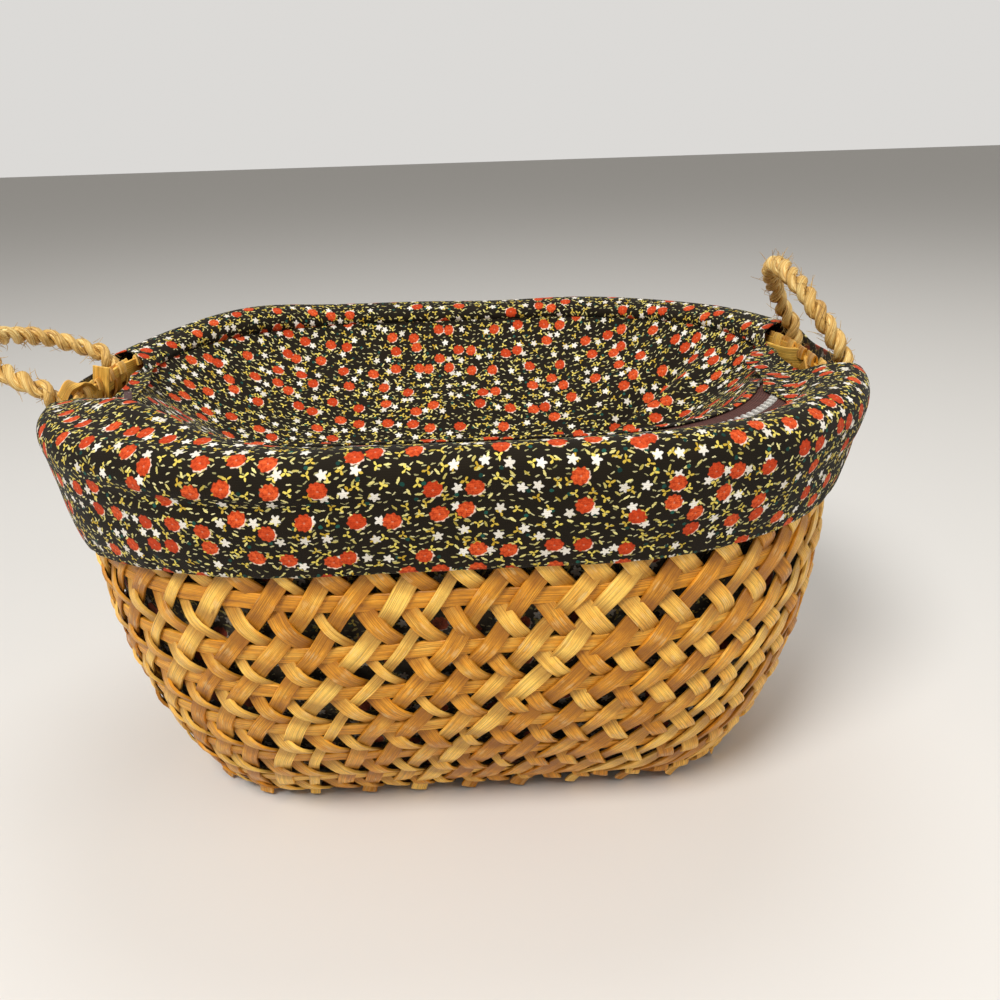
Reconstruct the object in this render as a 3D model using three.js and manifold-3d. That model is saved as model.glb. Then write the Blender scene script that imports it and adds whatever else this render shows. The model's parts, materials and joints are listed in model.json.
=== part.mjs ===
// Egg gathering basket: a woven cane bowl with a cloth liner, a rolled cloth cuff,
// a zipped cloth cover and two rope handles.
// Millimetres, +Z up, +X along the basket, -Y its front, origin under the middle of its base.
import * as THREE from 'three';
import { mergeVertices } from 'three/addons/utils/BufferGeometryUtils.js';
import Module from 'manifold-3d';

const wasm = await Module();
wasm.setup();

// Outline of the woven wall, on the middle one of its three layers of cane
const RIM_LENGTH = 302;
const RIM_WIDTH = 244;
const RIM_CORNER = 108;
const BASE_LENGTH = 226;
const BASE_WIDTH = 110;
const BASE_CORNER = 38;
const BASKET_HEIGHT = 171;
const WALL_FULLNESS = 3; // power that says how soon the wall turns upright

// Cane strips
const CANE = 1; // thickness of every strip
const LAYER_GAP = 0.9; // between a hoop and the stakes on either side of it
const STAKE_WIDTH = 8; // along the wall, level
const STAKE_COUNT = 40; // in each of the two slants
const STAKE_CROWDING = 0.05; // how much closer the stakes stay on the flat sides, at the rim
const HOOP_WIDTH = 7;
const HOOP_FIRST = 19; // height of the lowest hoop
const HOOP_PITCH = 20.5; // height from one hoop to the next
const RIM_BAND = 1.8; // thickness of the two bands that clasp the rim
const RIM_DEPTH = 9;
const STAKE_BOUND = 1; // end of a stake inside its rim band
const BASE_STRIP = 8;
const BASE_PITCH = 15.5; // between base strips, along the basket
const BASE_SLANT = 58; // degrees between a slanted base strip and the basket's length
const BASE_EDGE = 6; // width of the ring that the base strips end in
const BASE_OVERHANG = 2; // how far that ring stands out of the wall's foot

// Cloth
const CLOTH = 1.2;
const LINER_EASE = 1.3; // between the rim's inner band and the liner
const CUFF_DROP = 37; // from the rim down to the hem
const CUFF_STAND = 14.5; // from the wall's middle out to the widest part of the roll
const CUFF_RISE = 6; // top of the roll above the rim
const CUFF_WIDEST = 5; // depth below the rim of the roll's widest part
const ELASTIC = 1;
const ELASTIC_WIDTH = 5;
const HEM_ALLOWANCE = 1; // cloth below the elastic
const COVER_DROP = 4.5; // zip below the rim
const COVER_SAG = 52; // lowest part of the loose cover below its edge
const COVER_LOWEST = 0.7; // where that is, as a share of the way from its back edge to the fold line
const COVER_FULLNESS = 4; // power that says how steeply the cover hangs at its two ends
const FOLD_FRONT = 26; // fold line of the flap, in front of the basket's middle
const FLAP_SETBACK = 2; // flap's edge in front of its fold line
const LAP = 5; // cloth of the back half that lies under the flap

// Zip, whose run follows the rim's outline inside the cuff
const ZIP_INSET = 20; // from the wall's middle to the middle of the zip
const ZIP_CLEAR = 2; // between each end of the zip and the lap
const CHAIN_WIDTH = 1.6; // one row of teeth
const CHAIN_HEIGHT = 2;
const CHAIN_GAP = 1.8; // between the two rows, for the slider's divider
const TAPE = 0.8;
const TAPE_SHOWING = 5; // tape between the teeth and the cloth
const TAPE_SEWN = 2.5; // tape under the cloth
const SLIDER_LENGTH = 10;
const SLIDER_WIDTH = 6.4;
const SLIDER_PLATE = 1;
const SLIDER_DIVIDER = 1;
const BAIL_BAR = 1.3; // diameter of the bar that the pull tab hangs on
const BAIL_POST = 1;
const PULL_WIDTH = 3;
const PULL_LENGTH = 18;
const PULL_THICK = 1.2;
const PULL_EYE_WALL = 0.9;
const STOP_LENGTH = 3;

// Rope handles
const ROPE = 8.5;
const HANDLE_SPAN = 66; // between the two feet of a loop
const HANDLE_RISE = 40.5; // middle of the rope, from its feet to the top of the loop
const HANDLE_LIFT = 2.5; // feet above the rim
const ROOT_LENGTH = 14; // rope held between the wall and the cuff
const WINDOW_MARGIN = 4; // cloth cut clear of the rope on each side
const WINDOW_DEPTH = 7; // bottom of the cut below the rim
const WINDOW_LIP = 1.5; // the same, inside the rim
const LEFT_LEAN = 66; // degrees outwards from upright, as it rests
const RIGHT_LEAN = -30;

const GAP = 0.3; // between pieces that touch
const CORNER_STEPS = 8;
const ZIP_STEPS = 16; // steps round each corner of the zip
const ROPE_SIDES = 10;
const DEGREE = Math.PI / 180;

// Places that follow from those sizes
const STAKE_OFFSET = CANE + LAYER_GAP;
const STAKE_FACE = STAKE_OFFSET + CANE / 2;
const BAND_FACE = STAKE_OFFSET + RIM_BAND / 2;
const HOOP_HIGHEST = BASKET_HEIGHT - RIM_DEPTH - HOOP_WIDTH; // leaves half a hoop's width below the rim
const HOOP_COUNT = 1 + Math.floor((HOOP_HIGHEST - HOOP_FIRST) / HOOP_PITCH);
const BASE_LAYER = CANE + GAP;
const BASE_TOP = 2 * BASE_LAYER + CANE;
const WALL_FOOT = BASE_TOP + GAP;
const LINER_FOOT = WALL_FOOT + CLOTH + GAP;
const LINER_OFFSET = -(BAND_FACE + LINER_EASE + CLOTH / 2);
const ZIP_HEIGHT = BASKET_HEIGHT - COVER_DROP;
const COVER_BOTTOM = ZIP_HEIGHT + TAPE / 2 + GAP;
const TEETH_EDGE = CHAIN_GAP / 2 + CHAIN_WIDTH; // from the middle of the zip to a tape
const CLOTH_EDGE = TEETH_EDGE + GAP + TAPE_SHOWING;
const TAPE_EDGE = CLOTH_EDGE + TAPE_SEWN;
const FOLD_Y = -FOLD_FRONT;
const ZIP_END = FOLD_Y - LAP - ZIP_CLEAR;
const CORNER_X = RIM_LENGTH / 2 - RIM_CORNER;
const CORNER_Y = RIM_WIDTH / 2 - RIM_CORNER;
const ZIP_BEND = RIM_CORNER - ZIP_INSET; // radius of the zip's two corners
const ZIP_FIRST = Math.asin(Math.max(-ZIP_END - CORNER_Y, 0) / ZIP_BEND); // angle where it joins their arcs
const SLIDER_PARK = ZIP_FIRST + (SLIDER_LENGTH / 2 + STOP_LENGTH) / ZIP_BEND; // angle of the parked slider
const SLIDER_FRONT = SLIDER_PARK + (SLIDER_LENGTH / 2 + GAP) / ZIP_BEND;
const FOOT_BEND = RIM_CORNER + BAND_FACE + GAP + ROPE / 2; // rope's middle round the rim's corner
const FOOT_PAST = Math.max(HANDLE_SPAN / 2 - CORNER_Y, 0);
const FOOT_OUT = CORNER_X + Math.sqrt(FOOT_BEND ** 2 - FOOT_PAST ** 2);
const FOOT_HEIGHT = BASKET_HEIGHT + HANDLE_LIFT;

const CANE_FINISH = { color: '#c99a4e', roughness: 0.62, metalness: 0 };
const PRINT_FINISH = { color: '#23261f', roughness: 0.9, metalness: 0 };
const LINING_FINISH = { color: '#4a4a44', roughness: 0.95, metalness: 0 };
const ELASTIC_FINISH = { color: '#d9d5cc', roughness: 0.8, metalness: 0 };
const TAPE_FINISH = { color: '#4a2f2b', roughness: 0.85, metalness: 0 };
const METAL_FINISH = { color: '#b9b4a8', roughness: 0.35, metalness: 1 };
const ROPE_FINISH = { color: '#c9a76a', roughness: 0.85, metalness: 0 };

const basket = new THREE.Group();

function addPiece(name, geometry, finish) {
  const mesh = new THREE.Mesh(geometry, new THREE.MeshStandardMaterial(finish));
  mesh.name = name;
  basket.add(mesh);
}

// Closed mesh as a solid for joining and cutting, and back again
function toSolid(geometry) {
  const bare = geometry.clone();
  bare.deleteAttribute('normal');
  bare.deleteAttribute('uv');
  const merged = mergeVertices(bare, 1e-4);
  const vertProperties = new Float32Array(merged.attributes.position.array);
  const triVerts = new Uint32Array(merged.index.array);
  return new wasm.Manifold(new wasm.Mesh({ numProp: 3, vertProperties, triVerts }));
}

function toGeometry(solid) {
  const mesh = solid.getMesh();
  const geometry = new THREE.BufferGeometry();
  geometry.setAttribute('position', new THREE.BufferAttribute(mesh.vertProperties, 3));
  geometry.setIndex(new THREE.BufferAttribute(mesh.triVerts, 1));
  return geometry;
}

const joined = (solids) => solids.reduce((whole, solid) => whole.add(solid));

// Turns a closed mesh's faces outwards
function facingOut(points, index) {
  const corner = points.map((p) => new THREE.Vector3(p.x, p.y, p.z));
  let volume = 0;
  for (let i = 0; i < index.length; i += 3) {
    const [a, b, c] = [corner[index[i]], corner[index[i + 1]], corner[index[i + 2]]];
    volume += a.dot(b.clone().cross(c));
  }
  const geometry = new THREE.BufferGeometry();
  geometry.setAttribute('position', new THREE.Float32BufferAttribute(corner.flatMap((p) => p.toArray()), 3));
  geometry.setIndex(volume > 0 ? index : index.reverse());
  return geometry;
}

// Skin over a row of like sections, closed into a ring or capped at both ends
function loft(sections, closed) {
  const count = sections[0].length;
  const index = [];
  const steps = closed ? sections.length : sections.length - 1;
  for (let i = 0; i < steps; i++) {
    const here = i * count;
    const next = ((i + 1) % sections.length) * count;
    for (let k = 0; k < count; k++) {
      const m = (k + 1) % count;
      index.push(here + k, next + k, here + m, here + m, next + k, next + m);
    }
  }
  if (!closed) {
    const end = steps * count;
    for (let k = 1; k < count - 1; k++) {
      index.push(0, k, k + 1);
      index.push(end, end + k + 1, end + k);
    }
  }
  return facingOut(sections.flat(), index);
}

// Sheet of cloth under a grid of points
function sheet(rows) {
  const across = rows[0].length;
  const top = rows.flat();
  const bottom = top.map((p) => new THREE.Vector3(p.x, p.y, p.z - CLOTH));
  const under = top.length;
  const index = [];
  const edge = [];
  for (let i = 0; i < rows.length - 1; i++) {
    for (let k = 0; k < across - 1; k++) {
      const a = i * across + k;
      const [b, c, d] = [a + 1, a + across, a + across + 1];
      index.push(a, b, c, b, d, c);
      index.push(under + a, under + c, under + b, under + b, under + c, under + d);
    }
  }
  for (let k = 0; k < across; k++) edge.push(k);
  for (let i = 1; i < rows.length; i++) edge.push(i * across + across - 1);
  for (let k = across - 2; k >= 0; k--) edge.push((rows.length - 1) * across + k);
  for (let i = rows.length - 2; i > 0; i--) edge.push(i * across);
  edge.forEach((a, i) => {
    const b = edge[(i + 1) % edge.length];
    index.push(a, under + a, b, b, under + a, under + b);
  });
  return facingOut([...top, ...bottom], index);
}

const mix = (low, high, share) => low + (high - low) * share;

// Half length, half width and corner radius of the wall's outline at a height
function outlineAt(z) {
  const rise = Math.min(Math.max(z / BASKET_HEIGHT, 0), 1);
  const share = 1 - (1 - rise) ** WALL_FULLNESS;
  return {
    a: mix(BASE_LENGTH, RIM_LENGTH, share) / 2,
    b: mix(BASE_WIDTH, RIM_WIDTH, share) / 2,
    r: mix(BASE_CORNER, RIM_CORNER, share),
    share,
  };
}

// Spot on one of the outline's round corners, numbered from the right rear one, anticlockwise
function cornerSpot(z, angle, corner) {
  const { a, b, r } = outlineAt(z);
  const sideX = corner === 0 || corner === 3 ? 1 : -1;
  const sideY = corner < 2 ? 1 : -1;
  const out = new THREE.Vector2(Math.cos(angle), Math.sin(angle));
  return { at: new THREE.Vector2(sideX * (a - r), sideY * (b - r)).addScaledVector(out, r), out };
}

// Spot on the outline by its share of the way round, from the middle of the right end, anticlockwise
function roundSpot(z, turn) {
  const { a, b, r, share } = outlineAt(z);
  const quarters = (turn - Math.floor(turn)) * 4;
  const corner = Math.floor(quarters) % 4;
  const along = quarters - Math.floor(quarters);
  const part = corner % 2 ? 1 - along : along;
  const crowded = part - STAKE_CROWDING * share * Math.sin(2 * Math.PI * part);
  const arc = (r * Math.PI) / 2;
  const run = crowded * (b - r + arc + a - r);
  let at = new THREE.Vector2(a, run);
  let out = new THREE.Vector2(1, 0);
  if (run > b - r) {
    const angle = Math.min((run - (b - r)) / r, Math.PI / 2);
    out = new THREE.Vector2(Math.cos(angle), Math.sin(angle));
    at = new THREE.Vector2(a - r, b - r).addScaledVector(out, r);
    at.x -= Math.max(run - (b - r) - arc, 0);
  }
  const side = new THREE.Vector2(corner === 0 || corner === 3 ? 1 : -1, corner < 2 ? 1 : -1);
  return { at: at.multiply(side), out: out.multiply(side) };
}

// Point off the wall, with the offset measured square to its slope
function offWall(spotAt, z, offset) {
  const step = 0.5;
  const { at, out } = spotAt(z);
  const slope = spotAt(z + step).at.sub(spotAt(z - step).at).dot(out) / (2 * step);
  const reach = offset * Math.hypot(1, slope);
  return new THREE.Vector3(at.x + out.x * reach, at.y + out.y * reach, z);
}

function ring(z, offset) {
  const points = [];
  for (let corner = 0; corner < 4; corner++) {
    for (let step = 0; step <= CORNER_STEPS; step++) {
      const angle = (corner + step / CORNER_STEPS) * 90 * DEGREE;
      points.push(offWall((height) => cornerSpot(height, angle, corner), z, offset));
    }
  }
  return points;
}

// Ring of one section, given as offsets from the wall and heights
function ringLoft(section) {
  const rings = section.map(([offset, z]) => ring(z, offset));
  return loft(rings[0].map((point, i) => rings.map((points) => points[i])), true);
}

const band = (offset, thick, low, high) => [
  [offset - thick / 2, low],
  [offset + thick / 2, low],
  [offset + thick / 2, high],
  [offset - thick / 2, high],
];

const hoopHeight = (index) => HOOP_FIRST + HOOP_PITCH * index;

// One slanted stake from the base to the rim, a pitch further round at each hoop
function stake(number, lean, offset) {
  const foot = (WALL_FOOT - HOOP_FIRST) / HOOP_PITCH;
  const rows = [foot, 0, 0.5];
  for (let i = 1; i < HOOP_COUNT; i++) rows.push(i);
  rows.push((BASKET_HEIGHT - RIM_DEPTH + STAKE_BOUND - HOOP_FIRST) / HOOP_PITCH);
  const sections = rows.map((row) => {
    const z = hoopHeight(row);
    const turn = (number + lean * row) / STAKE_COUNT;
    const nudge = 0.1 / STAKE_COUNT;
    const pitch = roundSpot(z, turn + nudge).at.distanceTo(roundSpot(z, turn - nudge).at) / (2 * nudge);
    const half = STAKE_WIDTH / 2 / pitch;
    const edge = (side, face) => {
      const spotAt = (height) => roundSpot(height, turn + side * half);
      return offWall(spotAt, z, offset + (face * CANE) / 2);
    };
    return [edge(-1, -1), edge(1, -1), edge(1, 1), edge(-1, 1)];
  });
  return loft(sections, false);
}

// All stakes of one slant, with the rim band that their ends are bound into
function addStakes(name, lean, side) {
  const rim = ringLoft(band(side * STAKE_OFFSET, RIM_BAND, BASKET_HEIGHT - RIM_DEPTH, BASKET_HEIGHT));
  const solids = [toSolid(rim)];
  for (let i = 0; i < STAKE_COUNT; i++) {
    solids.push(toSolid(stake(i, lean, side * STAKE_OFFSET)));
  }
  addPiece(name, toGeometry(joined(solids)), CANE_FINISH);
}

function addHoops() {
  for (let i = 0; i < HOOP_COUNT; i++) {
    const z = hoopHeight(i);
    const hoop = ringLoft(band(0, CANE, z - HOOP_WIDTH / 2, z + HOOP_WIDTH / 2));
    addPiece(`weaver_hoop_${i + 1}`, hoop, CANE_FINISH);
  }
  const core = ringLoft(band(0, CANE, BASKET_HEIGHT - RIM_DEPTH, BASKET_HEIGHT));
  addPiece('rim_core_hoop', core, CANE_FINISH);
}

function roundedShape(a, b, r) {
  const shape = new THREE.Shape();
  shape.moveTo(a, b - r);
  shape.absarc(a - r, b - r, r, 0, 90 * DEGREE);
  shape.absarc(r - a, b - r, r, 90 * DEGREE, 180 * DEGREE);
  shape.absarc(r - a, r - b, r, 180 * DEGREE, 270 * DEGREE);
  shape.absarc(a - r, r - b, r, 270 * DEGREE, 360 * DEGREE);
  return shape;
}

function plate(outline, low, high) {
  const { a, b, r } = outline;
  const settings = { depth: high - low, bevelEnabled: false, curveSegments: CORNER_STEPS / 2 };
  return new THREE.ExtrudeGeometry(roundedShape(a, b, r), settings).translate(0, 0, low);
}

const grown = ({ a, b, r }, by) => ({ a: a + by, b: b + by, r: r + by });

// Flat base: slanted strips below and above level ones, all ending in a ring
function addBase() {
  const outline = grown(outlineAt(0), BASE_OVERHANG);
  const ringMiddle = grown(outline, -BASE_EDGE / 2);
  const edge = toSolid(plate(outline, 0, BASE_TOP))
    .subtract(toSolid(plate(grown(outline, -BASE_EDGE), -CANE, BASE_TOP + CANE)));
  const reach = BASE_LENGTH + BASE_WIDTH;
  const strips = [];
  const addStrip = (x, y, layer, angle) => {
    const strip = new THREE.BoxGeometry(reach, BASE_STRIP, CANE);
    strip.rotateZ(angle * DEGREE).translate(x, y, layer * BASE_LAYER + CANE / 2);
    strips.push(toSolid(strip).intersect(toSolid(plate(ringMiddle, 0, BASE_TOP))));
  };
  const level = Math.floor((ringMiddle.b - BASE_STRIP) / HOOP_PITCH);
  for (let i = -level; i <= level; i++) addStrip(0, i * HOOP_PITCH, 1, 0);
  const leanAcross = BASE_WIDTH / 2 / Math.tan(BASE_SLANT * DEGREE);
  const slanted = Math.floor((ringMiddle.a + leanAcross - BASE_STRIP - BASE_CORNER / 2) / BASE_PITCH);
  for (let i = -slanted; i <= slanted; i++) {
    addStrip(i * BASE_PITCH, 0, 0, BASE_SLANT);
    addStrip(i * BASE_PITCH, 0, 2, -BASE_SLANT);
  }
  addPiece('base_mat', toGeometry(joined([edge, ...strips])), CANE_FINISH);
}

// Cloth bag inside the cane: a bottom and a wall
function addLiner() {
  const floor = LINER_FOOT - GAP;
  const outline = grown(outlineAt(floor - CLOTH), LINER_OFFSET - CLOTH / 2);
  addPiece('liner_bottom', plate(outline, floor - CLOTH, floor), LINING_FINISH);
  const heights = [0, 0.08, 0.2, 0.36, 0.6, 1].map((share) => mix(LINER_FOOT, BASKET_HEIGHT - CANE, share));
  const outside = heights.map((z) => [LINER_OFFSET + CLOTH / 2, z]);
  const inside = heights.map((z) => [LINER_OFFSET - CLOTH / 2, z]);
  addPiece('liner_wall', ringLoft([...outside, ...inside.reverse()]), LINING_FINISH);
}

// Cloth rolled over the rim, from the hem outside to the zip inside, with a window for each handle
function addCuff() {
  const hemOffset = STAKE_FACE + GAP + ELASTIC + GAP + CLOTH / 2;
  const widest = CUFF_STAND - CLOTH / 2;
  const inside = LINER_OFFSET - CLOTH - GAP;
  const line = new THREE.SplineCurve([
    new THREE.Vector2(hemOffset, BASKET_HEIGHT - CUFF_DROP),
    new THREE.Vector2(mix(hemOffset, widest, 0.85), BASKET_HEIGHT - mix(CUFF_WIDEST, CUFF_DROP, 0.45)),
    new THREE.Vector2(widest, BASKET_HEIGHT - CUFF_WIDEST),
    new THREE.Vector2(widest / 2, BASKET_HEIGHT + CUFF_RISE - CLOTH / 2),
    new THREE.Vector2(inside, BASKET_HEIGHT),
    new THREE.Vector2(TEETH_EDGE + TAPE_SHOWING - ZIP_INSET, COVER_BOTTOM + CLOTH / 2),
  ]);
  const steps = 9;
  const offsetLine = (side) => {
    const points = [];
    for (let i = 0; i <= steps; i++) {
      const along = line.getTangent(i / steps);
      const at = line.getPoint(i / steps);
      points.push([at.x + (side * along.y * CLOTH) / 2, at.y - (side * along.x * CLOTH) / 2]);
    }
    return points;
  };
  let cuff = toSolid(ringLoft([...offsetLine(1), ...offsetLine(-1).reverse()]));
  const opening = HANDLE_SPAN + ROPE + 2 * WINDOW_MARGIN;
  const cuts = [[-ZIP_INSET, inside, WINDOW_LIP], [inside, 2 * CUFF_STAND, WINDOW_DEPTH]];
  for (const side of [-1, 1]) {
    for (const [near, far, depth] of cuts) {
      const up = depth + 2 * CUFF_RISE;
      const window = new THREE.BoxGeometry(far - near, opening, up);
      window.translate((side * (RIM_LENGTH + near + far)) / 2, 0, BASKET_HEIGHT - depth + up / 2);
      cuff = cuff.subtract(toSolid(window));
    }
  }
  addPiece('cuff', toGeometry(cuff), PRINT_FINISH);
  const low = BASKET_HEIGHT - CUFF_DROP + HEM_ALLOWANCE;
  const elastic = ringLoft(band(STAKE_FACE + GAP + ELASTIC / 2, ELASTIC, low, low + ELASTIC_WIDTH));
  addPiece('hem_elastic', elastic, ELASTIC_FINISH);
}

// Half outline inside the rim, from one end round the front or the back to the other
function halfRun(inset, end, side, steps) {
  const r = RIM_CORNER - inset;
  const past = side * end - CORNER_Y;
  const first = past > 0 ? Math.asin(past / r) : 0;
  const quarter = past > 0 ? [] : [new THREE.Vector2(CORNER_X + r, end)];
  for (let step = 0; step <= steps; step++) {
    const angle = mix(first, 90 * DEGREE, step / steps);
    quarter.push(new THREE.Vector2(CORNER_X + r * Math.cos(angle), side * (CORNER_Y + r * Math.sin(angle))));
  }
  return [...quarter, ...quarter.map((p) => new THREE.Vector2(-p.x, p.y)).reverse()];
}

// Cover between its edge and places along the flap's fold line, hanging by a share of its sag at each point
function coverRows(edge, sewn, foldXs, fold, hang) {
  const rowCount = 6;
  const rows = [edge.map((p) => new THREE.Vector3(p.x, p.y, 0))];
  for (let j = 0; j < rowCount; j++) {
    const share = j / (rowCount - 1);
    rows.push(sewn.map((start, i) => {
      const x = mix(start.x, foldXs[i], share);
      return new THREE.Vector3(x, mix(start.y, fold, share), -COVER_SAG * hang(x, share));
    }));
  }
  return rows;
}

const raised = (rows, height) => rows.map((row) => row.map((p) => p.clone().setZ(p.z + height)));

// Front of the cover opens on its fold line; the rest is sewn in and laps under it
function addCover() {
  const flapInset = ZIP_INSET + CLOTH_EDGE;
  const flapSewn = halfRun(flapInset + TAPE_SEWN, ZIP_END, -1, CORNER_STEPS);
  const half = flapSewn[0].x;
  const foldXs = flapSewn.map((p, i) => half * (1 - (2 * i) / (flapSewn.length - 1)));
  const acrossHang = (x) => 1 - Math.min(Math.abs(x) / half, 1) ** COVER_FULLNESS;
  const backHang = (x, share) => acrossHang(x) * (1 - (share / COVER_LOWEST - 1) ** 2);
  const flapHang = (x, share) => backHang(x, 1) * (1 - (1 - share) ** 2);
  const flapEdge = halfRun(flapInset, ZIP_END, -1, CORNER_STEPS);
  const flap = coverRows(flapEdge, flapSewn, foldXs, FOLD_Y - FLAP_SETBACK, flapHang);
  addPiece('cover_flap', sheet(raised(flap, COVER_BOTTOM + CLOTH)), PRINT_FINISH);
  const backInset = ZIP_INSET - TAPE_EDGE;
  const backSteps = flapSewn.length / 2 - 1;
  const backEdge = halfRun(backInset, FOLD_Y + LAP, 1, backSteps);
  const backSewn = halfRun(backInset + TAPE_SEWN, FOLD_Y + LAP, 1, backSteps);
  const backXs = [backSewn[0].x, ...foldXs, -backSewn[0].x];
  const back = coverRows(backEdge, backSewn, backXs, FOLD_Y + GAP, backHang);
  const lapXs = [half + GAP, ...foldXs, -half - GAP];
  back.push(lapXs.map((x) => new THREE.Vector3(x, FOLD_Y - LAP, -COVER_SAG * backHang(x, 1) - GAP)));
  addPiece('cover_back', sheet(raised(back, COVER_BOTTOM - GAP)), PRINT_FINISH);
}

const pastSlider = (p) => p.x > 0 || Math.atan2(-CORNER_Y - p.y, -CORNER_X - p.x) > SLIDER_FRONT;

// Strip along the zip's run between two distances from its middle, on the basket's side or the flap's
function zipStrip(near, far, thick, side) {
  const outer = halfRun(ZIP_INSET + side * far, ZIP_END, -1, ZIP_STEPS);
  const sections = halfRun(ZIP_INSET + side * near, ZIP_END, -1, ZIP_STEPS).map((inner, i) => {
    const corner = (p, rise) => new THREE.Vector3(p.x, p.y, ZIP_HEIGHT + (rise * thick) / 2);
    return [corner(inner, -1), corner(outer[i], -1), corner(outer[i], 1), corner(inner, 1)];
  });
  return loft(side > 0 ? sections.filter(([p]) => pastSlider(p)) : sections, false);
}

function addZip() {
  const teeth = CHAIN_GAP / 2;
  const tape = TEETH_EDGE + GAP;
  addPiece('zip_chain_basket', zipStrip(teeth, TEETH_EDGE, CHAIN_HEIGHT, -1), METAL_FINISH);
  addPiece('zip_chain_flap', zipStrip(teeth, TEETH_EDGE, CHAIN_HEIGHT, 1), METAL_FINISH);
  addPiece('zip_tape_basket', zipStrip(tape, TAPE_EDGE, TAPE, -1), TAPE_FINISH);
  addPiece('zip_tape_flap', zipStrip(tape, TAPE_EDGE, TAPE, 1), TAPE_FINISH);
  const stop = new THREE.BoxGeometry(CHAIN_WIDTH, STOP_LENGTH, CHAIN_HEIGHT);
  const [chainEnd] = halfRun(ZIP_INSET - teeth - CHAIN_WIDTH / 2, ZIP_END, -1, ZIP_STEPS);
  stop.translate(chainEnd.x, ZIP_END + GAP + STOP_LENGTH / 2, ZIP_HEIGHT);
  addPiece('zip_end_stop', stop, METAL_FINISH);
}

// Slider at the left end of the zip: two plates and a divider between them, with a bail on top
function addSlider() {
  const half = SLIDER_WIDTH / 2;
  const web = SLIDER_DIVIDER / 2;
  const inner = CHAIN_HEIGHT / 2 + GAP;
  const outer = inner + SLIDER_PLATE;
  const profile = new THREE.Shape([
    [half, inner], [half, outer], [-half, outer], [-half, inner], [-web, inner], [-web, -inner],
    [-half, -inner], [-half, -outer], [half, -outer], [half, -inner], [web, -inner], [web, inner],
  ].map(([x, y]) => new THREE.Vector2(x, y)));
  const body = new THREE.ExtrudeGeometry(profile, { depth: SLIDER_LENGTH, bevelEnabled: false });
  body.translate(0, 0, -SLIDER_LENGTH / 2).rotateX(90 * DEGREE);
  const eye = BAIL_BAR / 2 + GAP + PULL_EYE_WALL;
  const barHeight = outer + GAP + eye;
  const postX = PULL_WIDTH / 2 + GAP + BAIL_POST / 2;
  const bar = new THREE.CylinderGeometry(BAIL_BAR / 2, BAIL_BAR / 2, 2 * postX, ROPE_SIDES);
  bar.rotateZ(90 * DEGREE).translate(0, 0, barHeight);
  const postRise = barHeight + BAIL_BAR / 2 - outer + SLIDER_PLATE / 2;
  const posts = [-1, 1].map((side) => {
    const post = new THREE.BoxGeometry(BAIL_POST, BAIL_BAR, postRise);
    return post.translate(side * postX, 0, outer - SLIDER_PLATE / 2 + postRise / 2);
  });
  const slider = toGeometry(joined([body, bar, ...posts].map(toSolid)));
  const tab = new THREE.Shape();
  const lift = Math.asin(PULL_THICK / 2 / eye);
  tab.absarc(0, 0, eye, lift, 360 * DEGREE - lift);
  tab.lineTo(PULL_LENGTH - PULL_THICK / 2, -PULL_THICK / 2);
  tab.absarc(PULL_LENGTH - PULL_THICK / 2, 0, PULL_THICK / 2, -90 * DEGREE, 90 * DEGREE);
  const hole = new THREE.Path();
  hole.absarc(0, 0, BAIL_BAR / 2 + GAP, 0, 360 * DEGREE, true);
  tab.holes.push(hole);
  const tabSettings = { depth: PULL_WIDTH, bevelEnabled: false, curveSegments: ROPE_SIDES };
  const pull = new THREE.ExtrudeGeometry(tab, tabSettings);
  pull.translate(0, 0, -PULL_WIDTH / 2).rotateX(90 * DEGREE).rotateZ(90 * DEGREE).translate(0, 0, barHeight);
  for (const [name, piece] of [['zip_slider', slider], ['zip_pull_tab', pull]]) {
    piece.translate(-ZIP_BEND, 0, 0).rotateZ(SLIDER_PARK).translate(-CORNER_X, -CORNER_Y, ZIP_HEIGHT);
    addPiece(name, piece, METAL_FINISH);
  }
}

// Rope loop between its two feet, with round ends, leaning about the line through the feet
function ropeLoop(side, lean) {
  const radius = ROPE / 2;
  const arch = HANDLE_SPAN / 2;
  const upright = HANDLE_RISE - arch;
  const domeSteps = 3;
  const archSteps = 16;
  const stations = [];
  for (let i = 0; i < domeSteps; i++) {
    const angle = ((i + 0.4) / domeSteps) * 90 * DEGREE;
    stations.push({ y: -arch, rise: -radius * Math.cos(angle), turn: 0, size: radius * Math.sin(angle) });
  }
  stations.push({ y: -arch, rise: 0, turn: 0, size: radius });
  for (let i = 0; i <= archSteps; i++) {
    const turn = (i / archSteps) * 180 * DEGREE;
    const rise = upright + arch * Math.sin(turn);
    stations.push({ y: -arch * Math.cos(turn), rise, turn, size: radius });
  }
  const mirrored = stations.slice(0, domeSteps + 1).reverse();
  stations.push(...mirrored.map((s) => ({ ...s, y: arch, turn: 180 * DEGREE })));
  const sections = stations.map(({ y, rise, turn, size }) => {
    const points = [];
    for (let k = 0; k < ROPE_SIDES; k++) {
      const angle = (k / ROPE_SIDES) * 360 * DEGREE;
      const inPlane = size * Math.cos(angle);
      points.push(new THREE.Vector3(
        size * Math.sin(angle),
        y - inPlane * Math.cos(turn),
        rise + inPlane * Math.sin(turn),
      ));
    }
    return points;
  });
  return loft(sections, false).rotateY(side * lean * DEGREE).translate(side * FOOT_OUT, 0, FOOT_HEIGHT);
}

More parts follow.
